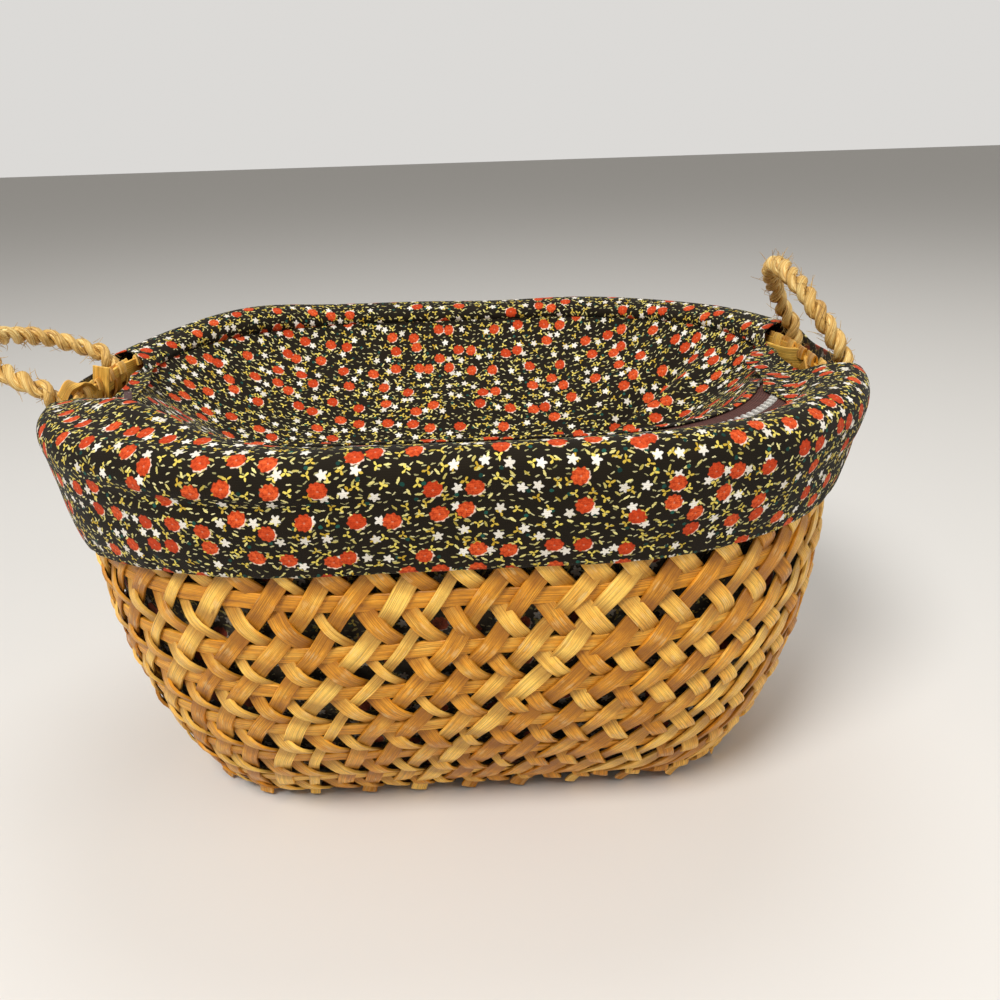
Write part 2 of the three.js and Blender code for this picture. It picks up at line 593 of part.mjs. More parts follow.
function addHandle(name, side, lean) {
  addPiece(`${name}_handle_rope`, ropeLoop(side, lean), ROPE_FINISH);
  const top = FOOT_HEIGHT - ROPE / 2 - GAP;
  for (const [place, sideY] of [['front', -1], ['back', 1]]) {
    const root = new THREE.CylinderGeometry(ROPE / 2, ROPE / 2, ROOT_LENGTH, ROPE_SIDES);
    root.rotateX(90 * DEGREE).rotateZ(90 * DEGREE);
    root.translate(side * FOOT_OUT, (sideY * HANDLE_SPAN) / 2, top - ROOT_LENGTH / 2);
    addPiece(`${name}_rope_root_${place}`, root, ROPE_FINISH);
  }
}

addStakes('right_leaning_stakes', 1, 1);
addStakes('left_leaning_stakes', -1, -1);
addHoops();
addBase();
addLiner();
addCuff();
addCover();
addZip();
addSlider();
addHandle('left', -1, LEFT_LEAN);
addHandle('right', 1, RIGHT_LEAN);

export default basket;
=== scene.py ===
# %% [markdown]
# # A lined egg basket
#
# A woven cane bowl with a cloth liner, a printed cuff rolled over its rim, a zipped cloth
# cover and two rope handles. The solid model gives every size and every joint. This lesson
# dresses it: strips that really pass over and under each other, cloth with a small floral
# print, a zip with single teeth and rope laid from two strands. Shapes are worked out in
# millimetres, as a basket maker would measure them, and turned to metres at the end.

# %% Load the frame
import json
import math

import bpy
import numpy as np
from mathutils import Matrix, Vector


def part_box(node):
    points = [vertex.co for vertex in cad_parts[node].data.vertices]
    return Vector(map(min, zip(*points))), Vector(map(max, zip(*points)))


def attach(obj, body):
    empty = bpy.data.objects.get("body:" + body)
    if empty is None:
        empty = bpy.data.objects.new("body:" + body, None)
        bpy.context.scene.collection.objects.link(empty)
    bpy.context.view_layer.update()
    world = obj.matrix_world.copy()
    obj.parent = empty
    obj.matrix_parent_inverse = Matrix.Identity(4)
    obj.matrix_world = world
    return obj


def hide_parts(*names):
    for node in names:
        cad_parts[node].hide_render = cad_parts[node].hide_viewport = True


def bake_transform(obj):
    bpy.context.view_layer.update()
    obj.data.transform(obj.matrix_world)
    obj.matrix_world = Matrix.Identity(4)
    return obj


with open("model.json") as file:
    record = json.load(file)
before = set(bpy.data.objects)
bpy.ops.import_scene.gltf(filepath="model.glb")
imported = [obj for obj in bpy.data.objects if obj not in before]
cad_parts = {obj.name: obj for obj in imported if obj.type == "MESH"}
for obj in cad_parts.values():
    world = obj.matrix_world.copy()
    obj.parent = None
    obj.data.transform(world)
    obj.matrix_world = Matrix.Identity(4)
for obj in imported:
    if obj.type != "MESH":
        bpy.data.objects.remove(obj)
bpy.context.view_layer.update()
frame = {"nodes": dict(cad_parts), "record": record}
MM = 0.001
rng = np.random.default_rng(20)

# %% [markdown]
# ## Camera
#
# The picture was taken from the front, a little above the basket, with the camera turned by a
# degree or two. The camera is set by those angles rather than by eye, so its matrix is built
# from three directions: right, up and back.

# %% Camera
AZIMUTH = math.radians(-1.63)
ELEVATION = math.radians(21.19)
ROLL = math.radians(-1.8)
DISTANCE = 449.71
TARGET = Vector((16.93, 0.0, 108.66))
LENS = 35.854

view_back = Vector((
    math.sin(AZIMUTH) * math.cos(ELEVATION),
    -math.cos(AZIMUTH) * math.cos(ELEVATION),
    math.sin(ELEVATION),
))
level_right = (-view_back).cross(Vector((0, 0, 1))).normalized()
level_up = level_right.cross(-view_back)
view_right = level_right * math.cos(ROLL) + level_up * math.sin(ROLL)
view_up = level_up * math.cos(ROLL) - level_right * math.sin(ROLL)
eye = (TARGET + view_back * DISTANCE) * MM

camera_data = bpy.data.cameras.new("camera")
camera_data.sensor_width = 36
camera_data.lens = LENS
camera_data.clip_start = 0.01
camera = bpy.data.objects.new("camera", camera_data)
camera.matrix_world = Matrix((
    (view_right.x, view_up.x, view_back.x, eye.x),
    (view_right.y, view_up.y, view_back.y, eye.y),
    (view_right.z, view_up.z, view_back.z, eye.z),
    (0, 0, 0, 1),
))
bpy.context.scene.collection.objects.link(camera)
bpy.context.scene.camera = camera
print("camera at", [round(c, 3) for c in eye])

# %% [markdown]
# ## Small tools
#
# Colours are written as the hex values that a paint program shows, and one function makes
# them linear. Another adds a shader or geometry node with its settings and links, so that a
# finish reads as a list of what it is made of. Meshes are made from points in millimetres.


# %% Small tools
def linear(hex_colour):
    parts = [int(hex_colour[i:i + 2], 16) / 255 for i in (1, 3, 5)]
    parts = [c / 12.92 if c <= 0.04045 else ((c + 0.055) / 1.055) ** 2.4 for c in parts]
    return (*parts, 1.0)


def add(tree, kind, inputs=(), **settings):
    made = tree.nodes.new(kind)
    for name, value in settings.items():
        setattr(made, name, value)
    for key, value in dict(inputs).items():
        if isinstance(value, bpy.types.Node):
            value = value.outputs[0]
        if isinstance(value, bpy.types.NodeSocket):
            tree.links.new(value, made.inputs[key])
        else:
            made.inputs[key].default_value = value
    return made


def new_material(name):
    material = bpy.data.materials.new(name)
    material.use_nodes = True
    tree = material.node_tree
    tree.nodes.clear()
    shader = add(tree, "ShaderNodeBsdfPrincipled")
    add(tree, "ShaderNodeOutputMaterial", {"Surface": shader})
    return material, tree, shader


def link_mesh(name, points, faces, materials, uvs=None):
    """Object from points in millimetres; uvs holds one pair for each corner of each face."""
    mesh = bpy.data.meshes.new(name)
    mesh.from_pydata((np.asarray(points) * MM).tolist(), [], faces)
    for material in materials:
        mesh.materials.append(material)
    if uvs is not None:
        layer = mesh.uv_layers.new(name="cloth")
        layer.data.foreach_set("uv", np.asarray(uvs, dtype=np.float32).ravel())
    mesh.shade_smooth()
    made = bpy.data.objects.new(name, mesh)
    bpy.context.scene.collection.objects.link(made)
    return made


def box_mm(node):
    low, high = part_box(node)
    return np.array(low) / MM, np.array(high) / MM


def new_tree(name, inputs, output):
    """Geometry node tree with named inputs, and the identifier of each input."""
    tree = bpy.data.node_groups.new(name, "GeometryNodeTree")
    identifiers = {}
    for label, kind in inputs:
        socket = tree.interface.new_socket(label, in_out="INPUT", socket_type="NodeSocket" + kind)
        identifiers[label] = socket.identifier
    tree.interface.new_socket(output, in_out="OUTPUT", socket_type="NodeSocketGeometry")
    return tree, identifiers


print("tools: colour, node, material, mesh, box and node tree")

# %% [markdown]
# ## The wall's outline
#
# The bowl is a rounded rectangle that grows from a narrow base to a wide rim, quickly at
# first and then hardly at all. Everything that is woven, sewn or rolled follows it, so one
# function gives a point of the wall for a share of the way round and a height, with the
# direction that faces out of the wall there.

# %% The wall's outline
CANE = 1.0
rim_high = box_mm("rim_core_hoop")[1]
base_high = box_mm("base_mat")[1]
BASE_OVERHANG = 2.0
HEIGHT = rim_high[2]
RIM_HALF = (rim_high[0] - CANE / 2, rim_high[1] - CANE / 2)
BASE_HALF = (base_high[0] - BASE_OVERHANG, base_high[1] - BASE_OVERHANG)
RIM_CORNER = 108.0
BASE_CORNER = 38.0
FULLNESS = 3
CROWDING = 0.01


def outline(z):
    share = 1 - (1 - np.clip(z / HEIGHT, 0, 1)) ** FULLNESS
    a = BASE_HALF[0] + (RIM_HALF[0] - BASE_HALF[0]) * share
    b = BASE_HALF[1] + (RIM_HALF[1] - BASE_HALF[1]) * share
    r = BASE_CORNER + (RIM_CORNER - BASE_CORNER) * share
    return a, b, r, share


def outline_spot(turn, z):
    a, b, r, share = outline(z)
    quarters = (turn % 1) * 4
    corner = np.floor(quarters).astype(int) % 4
    along = quarters - np.floor(quarters)
    part = np.where(corner % 2 == 1, 1 - along, along)
    run = (part - CROWDING * share * np.sin(2 * np.pi * part)) * (a + b - 2 * r + r * np.pi / 2)
    angle = np.clip((run - (b - r)) / r, 0, np.pi / 2)
    before = np.minimum(run - (b - r), 0)
    after = np.maximum(run - (b - r) - r * np.pi / 2, 0)
    side_x = np.where((corner == 0) | (corner == 3), 1, -1)
    side_y = np.where(corner < 2, 1, -1)
    x = side_x * (a - r + r * np.cos(angle) - after)
    y = side_y * (b - r + r * np.sin(angle) + before)
    return np.stack([x, y], -1), np.stack([side_x * np.cos(angle), side_y * np.sin(angle)], -1)


def wall(turn, z, offset):
    """Points off the wall and the wall's outward directions there."""
    turn, z, offset = np.broadcast_arrays(*(np.asarray(v, float) for v in (turn, z, offset)))
    spot, out = outline_spot(turn, z)
    rise = outline_spot(turn, z + 0.5)[0] - outline_spot(turn, z - 0.5)[0]
    slope = (rise * out).sum(-1)
    face = np.concatenate([out, -slope[..., None]], -1)
    face /= np.linalg.norm(face, axis=-1, keepdims=True)
    reach = offset * np.hypot(1, slope)
    return np.concatenate([spot + out * reach[..., None], z[..., None]], -1), face


print("wall:", RIM_HALF, BASE_HALF, "height", round(HEIGHT, 1))

# %% [markdown]
# ## A strip that follows a path
#
# Cane strips, zip tape, elastic and rope strands are all one section drawn along a path. A
# curve with a bevel can't hold a strip flat against a wall, so Geometry Nodes do it: each
# path's points carry the direction that the strip faces, and the sweep takes its normal from
# that. The section's place across and along the strip goes with it as attributes, which let
# the grain of a finish follow the strip.

# %% A strip that follows a path
sweep_tree, sweep_inputs = new_tree("strip along a path", [
    ("Paths", "Geometry"), ("Width", "Float"), ("Thickness", "Float"), ("Crown", "Float"),
    ("Edge", "Float"), ("Cuts", "Int"), ("Rounding", "Int"), ("Material", "Material")], "Strips")
given = add(sweep_tree, "NodeGroupInput")
face = add(sweep_tree, "GeometryNodeInputNamedAttribute", {"Name": "face"}, data_type="FLOAT_VECTOR")
taper = add(sweep_tree, "GeometryNodeInputNamedAttribute", {"Name": "taper"}, data_type="FLOAT")
curves = add(sweep_tree, "GeometryNodeMeshToCurve", {"Mesh": given.outputs["Paths"]})
faced = add(sweep_tree, "GeometryNodeSetCurveNormal", {"Curve": curves, "Normal": face}, mode="FREE")
section = add(sweep_tree, "GeometryNodeCurvePrimitiveQuadrilateral", {
    "Width": given.outputs["Thickness"], "Height": given.outputs["Width"]}, mode="RECTANGLE")
divided = add(sweep_tree, "GeometryNodeSubdivideCurve", {"Curve": section, "Cuts": given.outputs["Cuts"]})
eased = add(sweep_tree, "GeometryNodeFilletCurve", {
    "Curve": divided, "Count": given.outputs["Rounding"], "Radius": given.outputs["Edge"],
    "Limit Radius": True}, mode="POLY")
place = add(sweep_tree, "GeometryNodeInputPosition")
place_parts = add(sweep_tree, "ShaderNodeSeparateXYZ", {0: place})
across = add(sweep_tree, "ShaderNodeMath", {
    0: place_parts.outputs["Y"], 1: given.outputs["Width"]}, operation="DIVIDE")
doubled = add(sweep_tree, "ShaderNodeMath", {0: across, 1: 2.0}, operation="MULTIPLY")
squared = add(sweep_tree, "ShaderNodeMath", {0: doubled, 1: 2.0}, operation="POWER")
hump = add(sweep_tree, "ShaderNodeMath", {0: 1.0, 1: squared}, operation="SUBTRACT")
lift = add(sweep_tree, "ShaderNodeMath", {0: hump, 1: given.outputs["Crown"]}, operation="MULTIPLY")
lift_vector = add(sweep_tree, "ShaderNodeCombineXYZ", {"X": lift})
named = add(sweep_tree, "GeometryNodeStoreNamedAttribute", {
    "Geometry": eased, "Name": "across", "Value": across}, data_type="FLOAT", domain="POINT")
arched = add(sweep_tree, "GeometryNodeSetPosition", {"Geometry": named, "Offset": lift_vector})
swept = add(sweep_tree, "GeometryNodeCurveToMesh", {
    "Curve": faced, "Profile Curve": arched, "Scale": taper, "Fill Caps": True})
smooth = add(sweep_tree, "GeometryNodeSetShadeSmooth", {"Geometry": swept, "Shade Smooth": True})
whole = add(sweep_tree, "GeometryNodeRealizeInstances", {"Geometry": smooth})
finished = add(sweep_tree, "GeometryNodeSetMaterial", {
    "Geometry": whole, "Material": given.outputs["Material"]})
add(sweep_tree, "NodeGroupOutput", {0: finished})
print("strip:", len(sweep_tree.nodes), "nodes")

# %% [markdown]
# A tree needs an object to work on. The paths go into a mesh of points and edges, with what each
# point knows as attributes; the tree's result becomes a plain mesh and the carrier is removed.


# %% Strips from paths
def apply_nodes(made, name, crease):
    """Plain mesh object from an object's evaluated nodes, with sharp edges past crease degrees."""
    evaluated = made.evaluated_get(bpy.context.evaluated_depsgraph_get())
    mesh = bpy.data.meshes.new_from_object(evaluated)
    mesh.name = name
    mesh.set_sharp_from_angle(angle=math.radians(crease))
    carrier = made.data
    made.modifiers.clear()
    bpy.data.objects.remove(made)
    bpy.data.meshes.remove(carrier)
    plain = bpy.data.objects.new(name, mesh)
    bpy.context.scene.collection.objects.link(plain)
    return plain


def sweep(
        name, paths, width, thickness, material, crown=0.0, edge=0.3, cuts=1, rounding=1, crease=30):
    """One mesh of strips. A path is a dict of points, faces, closed, strip, lift and taper."""
    points, edges, columns = [], [], {key: [] for key in ("face", "along", "strip", "lift", "taper")}
    for path in paths:
        own = np.asarray(path["points"], float)
        first, count = len(points), len(own)
        steps = np.linalg.norm(np.diff(own, axis=0), axis=1)
        points.extend(own.tolist())
        edges.extend((first + i, first + i + 1) for i in range(count - 1))
        if path.get("closed"):
            edges.append((first + count - 1, first))
        columns["face"].extend(np.asarray(path["faces"], float).tolist())
        columns["along"].extend(np.concatenate([[0], np.cumsum(steps)]).tolist())
        columns["strip"].extend([path.get("strip", 0.5)] * count)
        for key, rest in (("lift", 0.0), ("taper", 1.0)):
            columns[key].extend(np.broadcast_to(path.get(key, rest), count).tolist())
    mesh = bpy.data.meshes.new(name)
    mesh.from_pydata((np.array(points) * MM).tolist(), edges, [])
    for key, values in columns.items():
        kind, field = ("FLOAT_VECTOR", "vector") if key == "face" else ("FLOAT", "value")
        layer = mesh.attributes.new(key, kind, "POINT")
        layer.data.foreach_set(field, np.array(values, dtype=np.float32).ravel())
    carrier = bpy.data.objects.new(name + "_paths", mesh)
    bpy.context.scene.collection.objects.link(carrier)
    nodes = carrier.modifiers.new("sweep", "NODES")
    nodes.node_group = sweep_tree
    for label, value in (
        ("Width", width * MM), ("Thickness", thickness * MM), ("Crown", crown * MM),
        ("Edge", edge * MM), ("Cuts", cuts), ("Rounding", rounding), ("Material", material),
    ):
        nodes[sweep_inputs[label]] = value
    made = apply_nodes(carrier, name, crease)
    print(name, len(paths), "paths,", len(made.data.polygons), "faces")
    return made


# %% [markdown]
# ## Split cane
#
# The strips are split rattan cane: straw yellow to honey brown, smooth and a little glossy
# on the skin side, with fine fibres along the strip. Fibres show as thin streaks, some
# strips are paler than others, and the humps where a strip passes over another are worn pale.
# The parts that lie below another strip are painted browner, as painted shade. Noise stretched
# along the strip makes the streaks.

# %% Split cane
FIBRE_WIDTH = 0.26  # millimetres, drawn a little coarser than real so that it shows
STRIP_WIDTH = 7.0
GRAIN_APART = 731.0  # takes every strip to its own stretch of the noise


def split_cane(name, pale, mid, dark):
    material, tree, shader = new_material(name)
    along, across, strip, lift = (
        add(tree, "ShaderNodeAttribute", attribute_name=key).outputs["Fac"]
        for key in ("along", "across", "strip", "lift"))
    shift = add(tree, "ShaderNodeMath", {0: strip, 1: GRAIN_APART}, operation="MULTIPLY")
    place = add(tree, "ShaderNodeCombineXYZ", {"X": along, "Y": across, "Z": shift})
    fine = add(tree, "ShaderNodeVectorMath", {
        0: place, 1: (0.022, STRIP_WIDTH / FIBRE_WIDTH, 1.0)}, operation="MULTIPLY")
    broad = add(tree, "ShaderNodeVectorMath", {0: place, 1: (0.09, 1.6, 1.0)}, operation="MULTIPLY")
    split = add(tree, "ShaderNodeVectorMath", {0: place, 1: (0.05, 5.0, 1.0)}, operation="MULTIPLY")
    fibres = add(tree, "ShaderNodeTexNoise", {
        "Vector": fine, "Scale": 1.0, "Detail": 3.0, "Roughness": 0.6})
    patches = add(tree, "ShaderNodeTexNoise", {
        "Vector": broad, "Scale": 1.0, "Detail": 4.0, "Roughness": 0.65})
    splits = add(tree, "ShaderNodeTexNoise", {
        "Vector": split, "Scale": 1.0, "Detail": 5.0, "Roughness": 0.7})
    tone = add(tree, "ShaderNodeMath", {0: strip, 1: 0.36, 2: 0.11}, operation="MULTIPLY_ADD")
    tone = add(tree, "ShaderNodeMath", {0: patches, 1: 0.6, 2: tone}, operation="MULTIPLY_ADD")
    colours = add(tree, "ShaderNodeValToRGB", {"Fac": tone})
    ramp = colours.color_ramp
    ramp.elements[0].position = 0.25
    ramp.elements[0].color = linear(dark)
    ramp.elements[1].position = 0.8
    ramp.elements[1].color = linear(pale)
    ramp.elements.new(0.5).color = linear(mid)
    streak = add(tree, "ShaderNodeMapRange", {
        "Value": fibres, "From Min": 0.38, "From Max": 0.6, "To Min": 0.58, "To Max": 1.16})
    colour = add(tree, "ShaderNodeMix", {
        "Factor": 1.0, "A": colours, "B": streak}, data_type="RGBA", blend_type="MULTIPLY")
    crack = add(tree, "ShaderNodeMapRange", {
        "Value": splits, "From Min": 0.62, "From Max": 0.7, "To Min": 0.0, "To Max": 0.8})
    colour = add(tree, "ShaderNodeMix", {
        "Factor": crack, "A": colour.outputs["Result"], "B": linear("#6b3d10")}, data_type="RGBA")
    worn = add(tree, "ShaderNodeMath", {0: lift, 1: splits}, operation="MULTIPLY")
    worn = add(tree, "ShaderNodeMapRange", {
        "Value": worn, "From Min": 0.47, "From Max": 0.6, "To Min": 0.0, "To Max": 0.34})
    colour = add(tree, "ShaderNodeMix", {
        "Factor": worn, "A": colour.outputs["Result"], "B": linear("#efd296")}, data_type="RGBA")
    # painted shade: where a strip lies below another, its colour is mixed towards dark brown, standing in
    # for the shadow there
    below = add(tree, "ShaderNodeMapRange", {
        "Value": lift, "From Min": 0.0, "From Max": 0.7, "To Min": 0.55, "To Max": 0.0})
    colour = add(tree, "ShaderNodeMix", {
        "Factor": below, "A": colour.outputs["Result"], "B": linear("#7e480c")}, data_type="RGBA")
    relief = add(tree, "ShaderNodeMath", {0: splits, 1: 1.5, 2: fibres}, operation="MULTIPLY_ADD")
    bump = add(tree, "ShaderNodeBump", {"Height": relief, "Strength": 0.45, "Distance": 0.0004})
    gloss = add(tree, "ShaderNodeMapRange", {
        "Value": patches, "From Min": 0.3, "From Max": 0.7, "To Min": 0.34, "To Max": 0.56})
    tree.links.new(colour.outputs["Result"], shader.inputs["Base Color"])
    tree.links.new(gloss.outputs[0], shader.inputs["Roughness"])
    tree.links.new(bump.outputs[0], shader.inputs["Normal"])
    shader.inputs["IOR"].default_value = 1.5
    shader.inputs["Specular IOR Level"].default_value = 0.32
    return material


# satin straw gold on the skin side, with dark splits and pale scars where a strip is bent
cane_skin = split_cane("split cane, skin side", "#fccb60", "#d68f24", "#8c4d0e")
print("finish:", cane_skin.name)

# %% [markdown]
# ## The weave
#
# Two sets of slanted stakes and a row of level hoops make an open plait. At each hoop a stake
# that leans right lies outside the hoop, and one that leans left lies behind it. Halfway to the
# next hoop the left-leaning stake arches out over the right-leaning one, which stays nearly flat.
# So every stake rises and falls once for each hoop, as a cosine of its row. Each stake also moves
# one stake's pitch round the basket for each hoop, and folds over the rim at its top.

# %% The weave
STAKE_COUNT = 58
STAKE_WIDTH = 6.6  # square to the strip
STRIP = 1.2
HOOP_FIRST = 19.0
HOOP_PITCH = 20.5
HOOP_NUDGE = [-1.0, 1.2, 2.0, 1.5, -1.0, 0.0, 0.0]  # hand-woven hoops aren't quite evenly spaced
HOOP_WIDTH = 6.6
HOOP_POINTS = 360
HOOPS = [node for node in frame["nodes"] if node.startswith("weaver_hoop_")]
OUTER_LIE = (1.05, 0.5)  # middle and swing of a stake's offset from the hoops
INNER_LIE = (0.3, -1.9)
POINTS_PER_HOOP = 10
FOLD_STEPS = 7
TIP_HEIGHT = 2.5  # a stake's square end, whose corner is the lowest point of its tip
TIP_FLARE = 2.6  # how far every other tip stands out
TIP_SHORT = 2.2  # how much shorter the tips between them are
UNDER_HEIGHT = 5.0  # where the other stakes start to turn under the base
UNDER_REACH, UNDER_DRIFT = 9.0, 3.0  # how far their feet go in, and on along the edge
RIM_FOLD = 3.0  # how far below the rim's top a stake starts to fold over
RIM_CAP = 4.2  # how high the fold stands above that
THIN_SHARE = 0.16  # share of stakes that are split narrower
print("weave:", STAKE_COUNT, "stakes each way and", len(HOOPS), "hoops")


# %% Paths of the weave
def hoop_height(row):
    return HOOP_FIRST + HOOP_PITCH * row + np.interp(row, range(len(HOOP_NUDGE)), HOOP_NUDGE)


def turned_under(start, face, before):
    """Foot of a stake that goes round the base's edge and on below the mat."""
    inward = -face[:2] / np.linalg.norm(face[:2])
    drift = (start - before)[:2]
    drift = drift / max(np.linalg.norm(drift), 1e-6)
    share = np.linspace(1, 1 / FOLD_STEPS, FOLD_STEPS)[:, None]
    flat = start[:2] + (inward * UNDER_REACH + drift * UNDER_DRIFT) * share
    low = np.maximum(1.1, start[2] * (1 - share * 1.6) + 0.2)
    faces = face * (1 - share) + np.array([0, 0, -1.0]) * share
    return np.hstack([flat, low]), faces


def folded_over(end, face, offset, side):
    """Top of a stake that folds over the rim's core and down its other face."""
    angle = (np.arange(1, FOLD_STEPS + 1) / FOLD_STEPS * np.pi)[:, None]
    flat = end - face * (side * abs(offset) * (1 - np.cos(angle)))
    points = np.hstack([flat[:, :2], HEIGHT - RIM_FOLD + RIM_CAP * np.sin(angle)])
    faces = face * np.cos(angle) + side * np.array([0, 0, 1.0]) * np.sin(angle)
    return points, faces


def stake_path(number, lean, side):
    middle, swing = OUTER_LIE if side > 0 else INNER_LIE
    slack = rng.normal(0, 0.07)
    wander = rng.uniform(0, 2 * np.pi, 2)
    flared = number % 2 == 0
    foot_height = UNDER_HEIGHT
    if side > 0:
        foot_height = TIP_HEIGHT + (0 if flared else TIP_SHORT) + rng.uniform(0, 0.8)
    foot = (foot_height - HOOP_FIRST - HOOP_NUDGE[0]) / HOOP_PITCH
    top = (HEIGHT - RIM_FOLD - HOOP_FIRST) / HOOP_PITCH
    row = np.linspace(foot, top, int((top - foot) * POINTS_PER_HOOP))
    sway = 0.05 * np.sin(1.7 * row + wander[0]) + 0.03 * np.sin(3.9 * row + wander[1])
    turn = (number + lean * row + slack + sway) / STAKE_COUNT
    offset = middle + swing * np.cos(2 * np.pi * row)
    if side > 0 and flared:
        offset = offset + TIP_FLARE * np.exp(-(row - foot) / 0.2)
    points, faces = wall(turn, hoop_height(row), offset)
    tilt = 0.1 * np.sin(2 * np.pi * row + 0.6 * side) + rng.normal(0, 0.04)
    lift = np.clip((offset - middle) / abs(swing), 0, 1)
    over, over_faces = folded_over(points[-1], faces[-1], offset[-1], side)
    level, raised = np.zeros(FOLD_STEPS), np.ones(FOLD_STEPS)
    parts = [(points, faces, tilt, lift), (over, over_faces, level, raised)]
    if side < 0:
        under, under_faces = turned_under(points[0], faces[0], points[3])
        parts.insert(0, (under, under_faces, level, level))
    points, faces, tilt, lift = (np.concatenate(column) for column in zip(*parts))
    along = np.gradient(points, axis=0)
    along /= np.linalg.norm(along, axis=1, keepdims=True)
    faces = faces * np.cos(tilt)[:, None] + np.cross(faces, along) * np.sin(tilt)[:, None]
    narrow = rng.uniform(0.55, 0.7) if rng.random() < THIN_SHARE else rng.uniform(0.92, 1.08)
    return {"points": points, "faces": faces, "strip": rng.random(), "lift": lift, "taper": narrow}


def hoop_path(z, count):
    turn = np.arange(count) / count
    wave = 0.18 * np.sin(2 * np.pi * (turn * STAKE_COUNT + rng.random()))
    height = z + 0.7 * np.sin(2 * np.pi * (3 * turn + rng.random())) + 0.4 * np.sin(2 * np.pi * 11 * turn)
    points, faces = wall(turn, height, wave)
    return {"points": points, "faces": faces, "closed": True, "strip": rng.random(), "lift": 0.75}


print("hoops at", [round(float(hoop_height(i))) for i in range(len(HOOPS))], "mm")

# %% Stakes and hoops
outer_stakes = sweep(
    "stakes_leaning_right", [stake_path(i, 1, 1) for i in range(STAKE_COUNT)],
    STAKE_WIDTH, STRIP, cane_skin, crown=0.2, edge=0.22)
inner_stakes = sweep(
    "stakes_leaning_left", [stake_path(i, -1, -1) for i in range(STAKE_COUNT)],
    STAKE_WIDTH, STRIP, cane_skin, crown=0.2, edge=0.22)
hoops = sweep(
    "weaver_hoops", [hoop_path(hoop_height(i), HOOP_POINTS) for i in range(len(HOOPS))],
    HOOP_WIDTH, STRIP, cane_skin, crown=0.3, edge=0.22)
for piece, nodes in (
    (outer_stakes, ["right_leaning_stakes"]), (inner_stakes, ["left_leaning_stakes"]),
    (hoops, HOOPS),
):
    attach(piece, "basket")
    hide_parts(*nodes)

# %% [markdown]
# ## The base
#
# The base is woven from the same strips: level ones between two sets of slanted ones, held by
# an edge hoop that the stakes turn round. It is flat, because the basket stands on it.

# %% The base
BASE_SLANT = math.radians(58)
BASE_PITCH = 15.5
BASE_LAYERS = {"below": 0.6, "level": 1.8, "above": 3.0}
BASE_EDGE = 3.0
BASE_POINTS = 60  # along each strip
BASE_STRIP = 7.0
BASE_LEVEL, BASE_SLANTED = 2, 9  # strips on each side of the middle one


def base_strip(through, angle, height):
    """Straight strip through a point of the base's length, cut where it meets the base's outline."""
    direction = np.array([math.cos(angle), math.sin(angle)])
    reach = np.linspace(-1, 1, 401) * (BASE_HALF[0] + BASE_HALF[1])
    spots = np.asarray(through) + reach[:, None] * direction
    a, b = BASE_HALF[0] - BASE_EDGE, BASE_HALF[1] - BASE_EDGE
    over = np.maximum(np.abs(spots) - [a - BASE_CORNER, b - BASE_CORNER], 0)
    inside = spots[np.hypot(over[:, 0], over[:, 1]) < BASE_CORNER]
    if len(inside) < 12:
        return None
    spots = np.linspace(inside[0], inside[-1], BASE_POINTS)
    wave = 0.25 * np.cos(np.arange(BASE_POINTS) * 2 * np.pi / 9)
    points = np.column_stack([spots, height + wave * (height > 1)])
    faces = np.tile([0, 0, -1.0], (BASE_POINTS, 1))
    return {"points": points, "faces": faces, "strip": rng.random(), "lift": 0.4}


base_paths = []
for i in range(-BASE_LEVEL, BASE_LEVEL + 1):
    base_paths.append(base_strip((0, i * HOOP_PITCH), 0, BASE_LAYERS["level"]))
for i in range(-BASE_SLANTED, BASE_SLANTED + 1):
    base_paths.append(base_strip((i * BASE_PITCH, 0), BASE_SLANT, BASE_LAYERS["below"]))
    base_paths.append(base_strip((i * BASE_PITCH, 0), -BASE_SLANT, BASE_LAYERS["above"]))
base_paths = [path for path in base_paths if path]
base = sweep("base_weave", base_paths, BASE_STRIP, CANE, cane_skin, crown=0.0)
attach(base, "basket")
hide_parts("base_mat")

# %% [markdown]
# ## Printed cotton
#
# The cloth is a light plain-woven cotton, printed with a small all-over floral on black: red
# flowers with a pale edge, white stars, yellow sprigs and leaves, pale dashes and green dots. Each
# kind sits in its own irregular grid of cells: a Voronoi texture gives every cell a centre and
# a random colour, and the shape round that centre is a function of the distance and the angle.
# The cloth's own UV map is in units of 100 mm, so that every size below is a real one.

# %% Printed cotton
UV_UNIT = 100.0
MOTIFS = [
    # name, cell (mm), reach (mm), lobes, depth of the lobes, share of cells, turn in radians, colours
    ("dash", 2.9, (0.85, 0.27), 0, 0.0, 0.82, 1.5, ("#7f7a4c", "#d4cb98")),
    ("leaf", 4.6, (1.25, 0.42), 0, 0.0, 0.68, 2.6, ("#a08f3c", "#e3d88c")),
    ("dot", 7.4, (0.75, 0.75), 0, 0.0, 0.55, 6.3, ("#0f2f2a", "#1f5347")),
    ("sprig", 5.8, (1.85, 1.55), 3, 0.54, 0.76, 6.3, ("#b8952c", "#e2cf62")),
    ("star", 8.4, (1.95, 1.95), 5, 0.22, 0.68, 6.3, ("#d2cabb", "#ece6da")),
    ("flower", 12.2, (3.4, 3.2), 9, 0.06, 0.8, 1.8, ("#c03e18", "#de5c2a")),
]
print("print:", ", ".join(motif[0] for motif in MOTIFS))


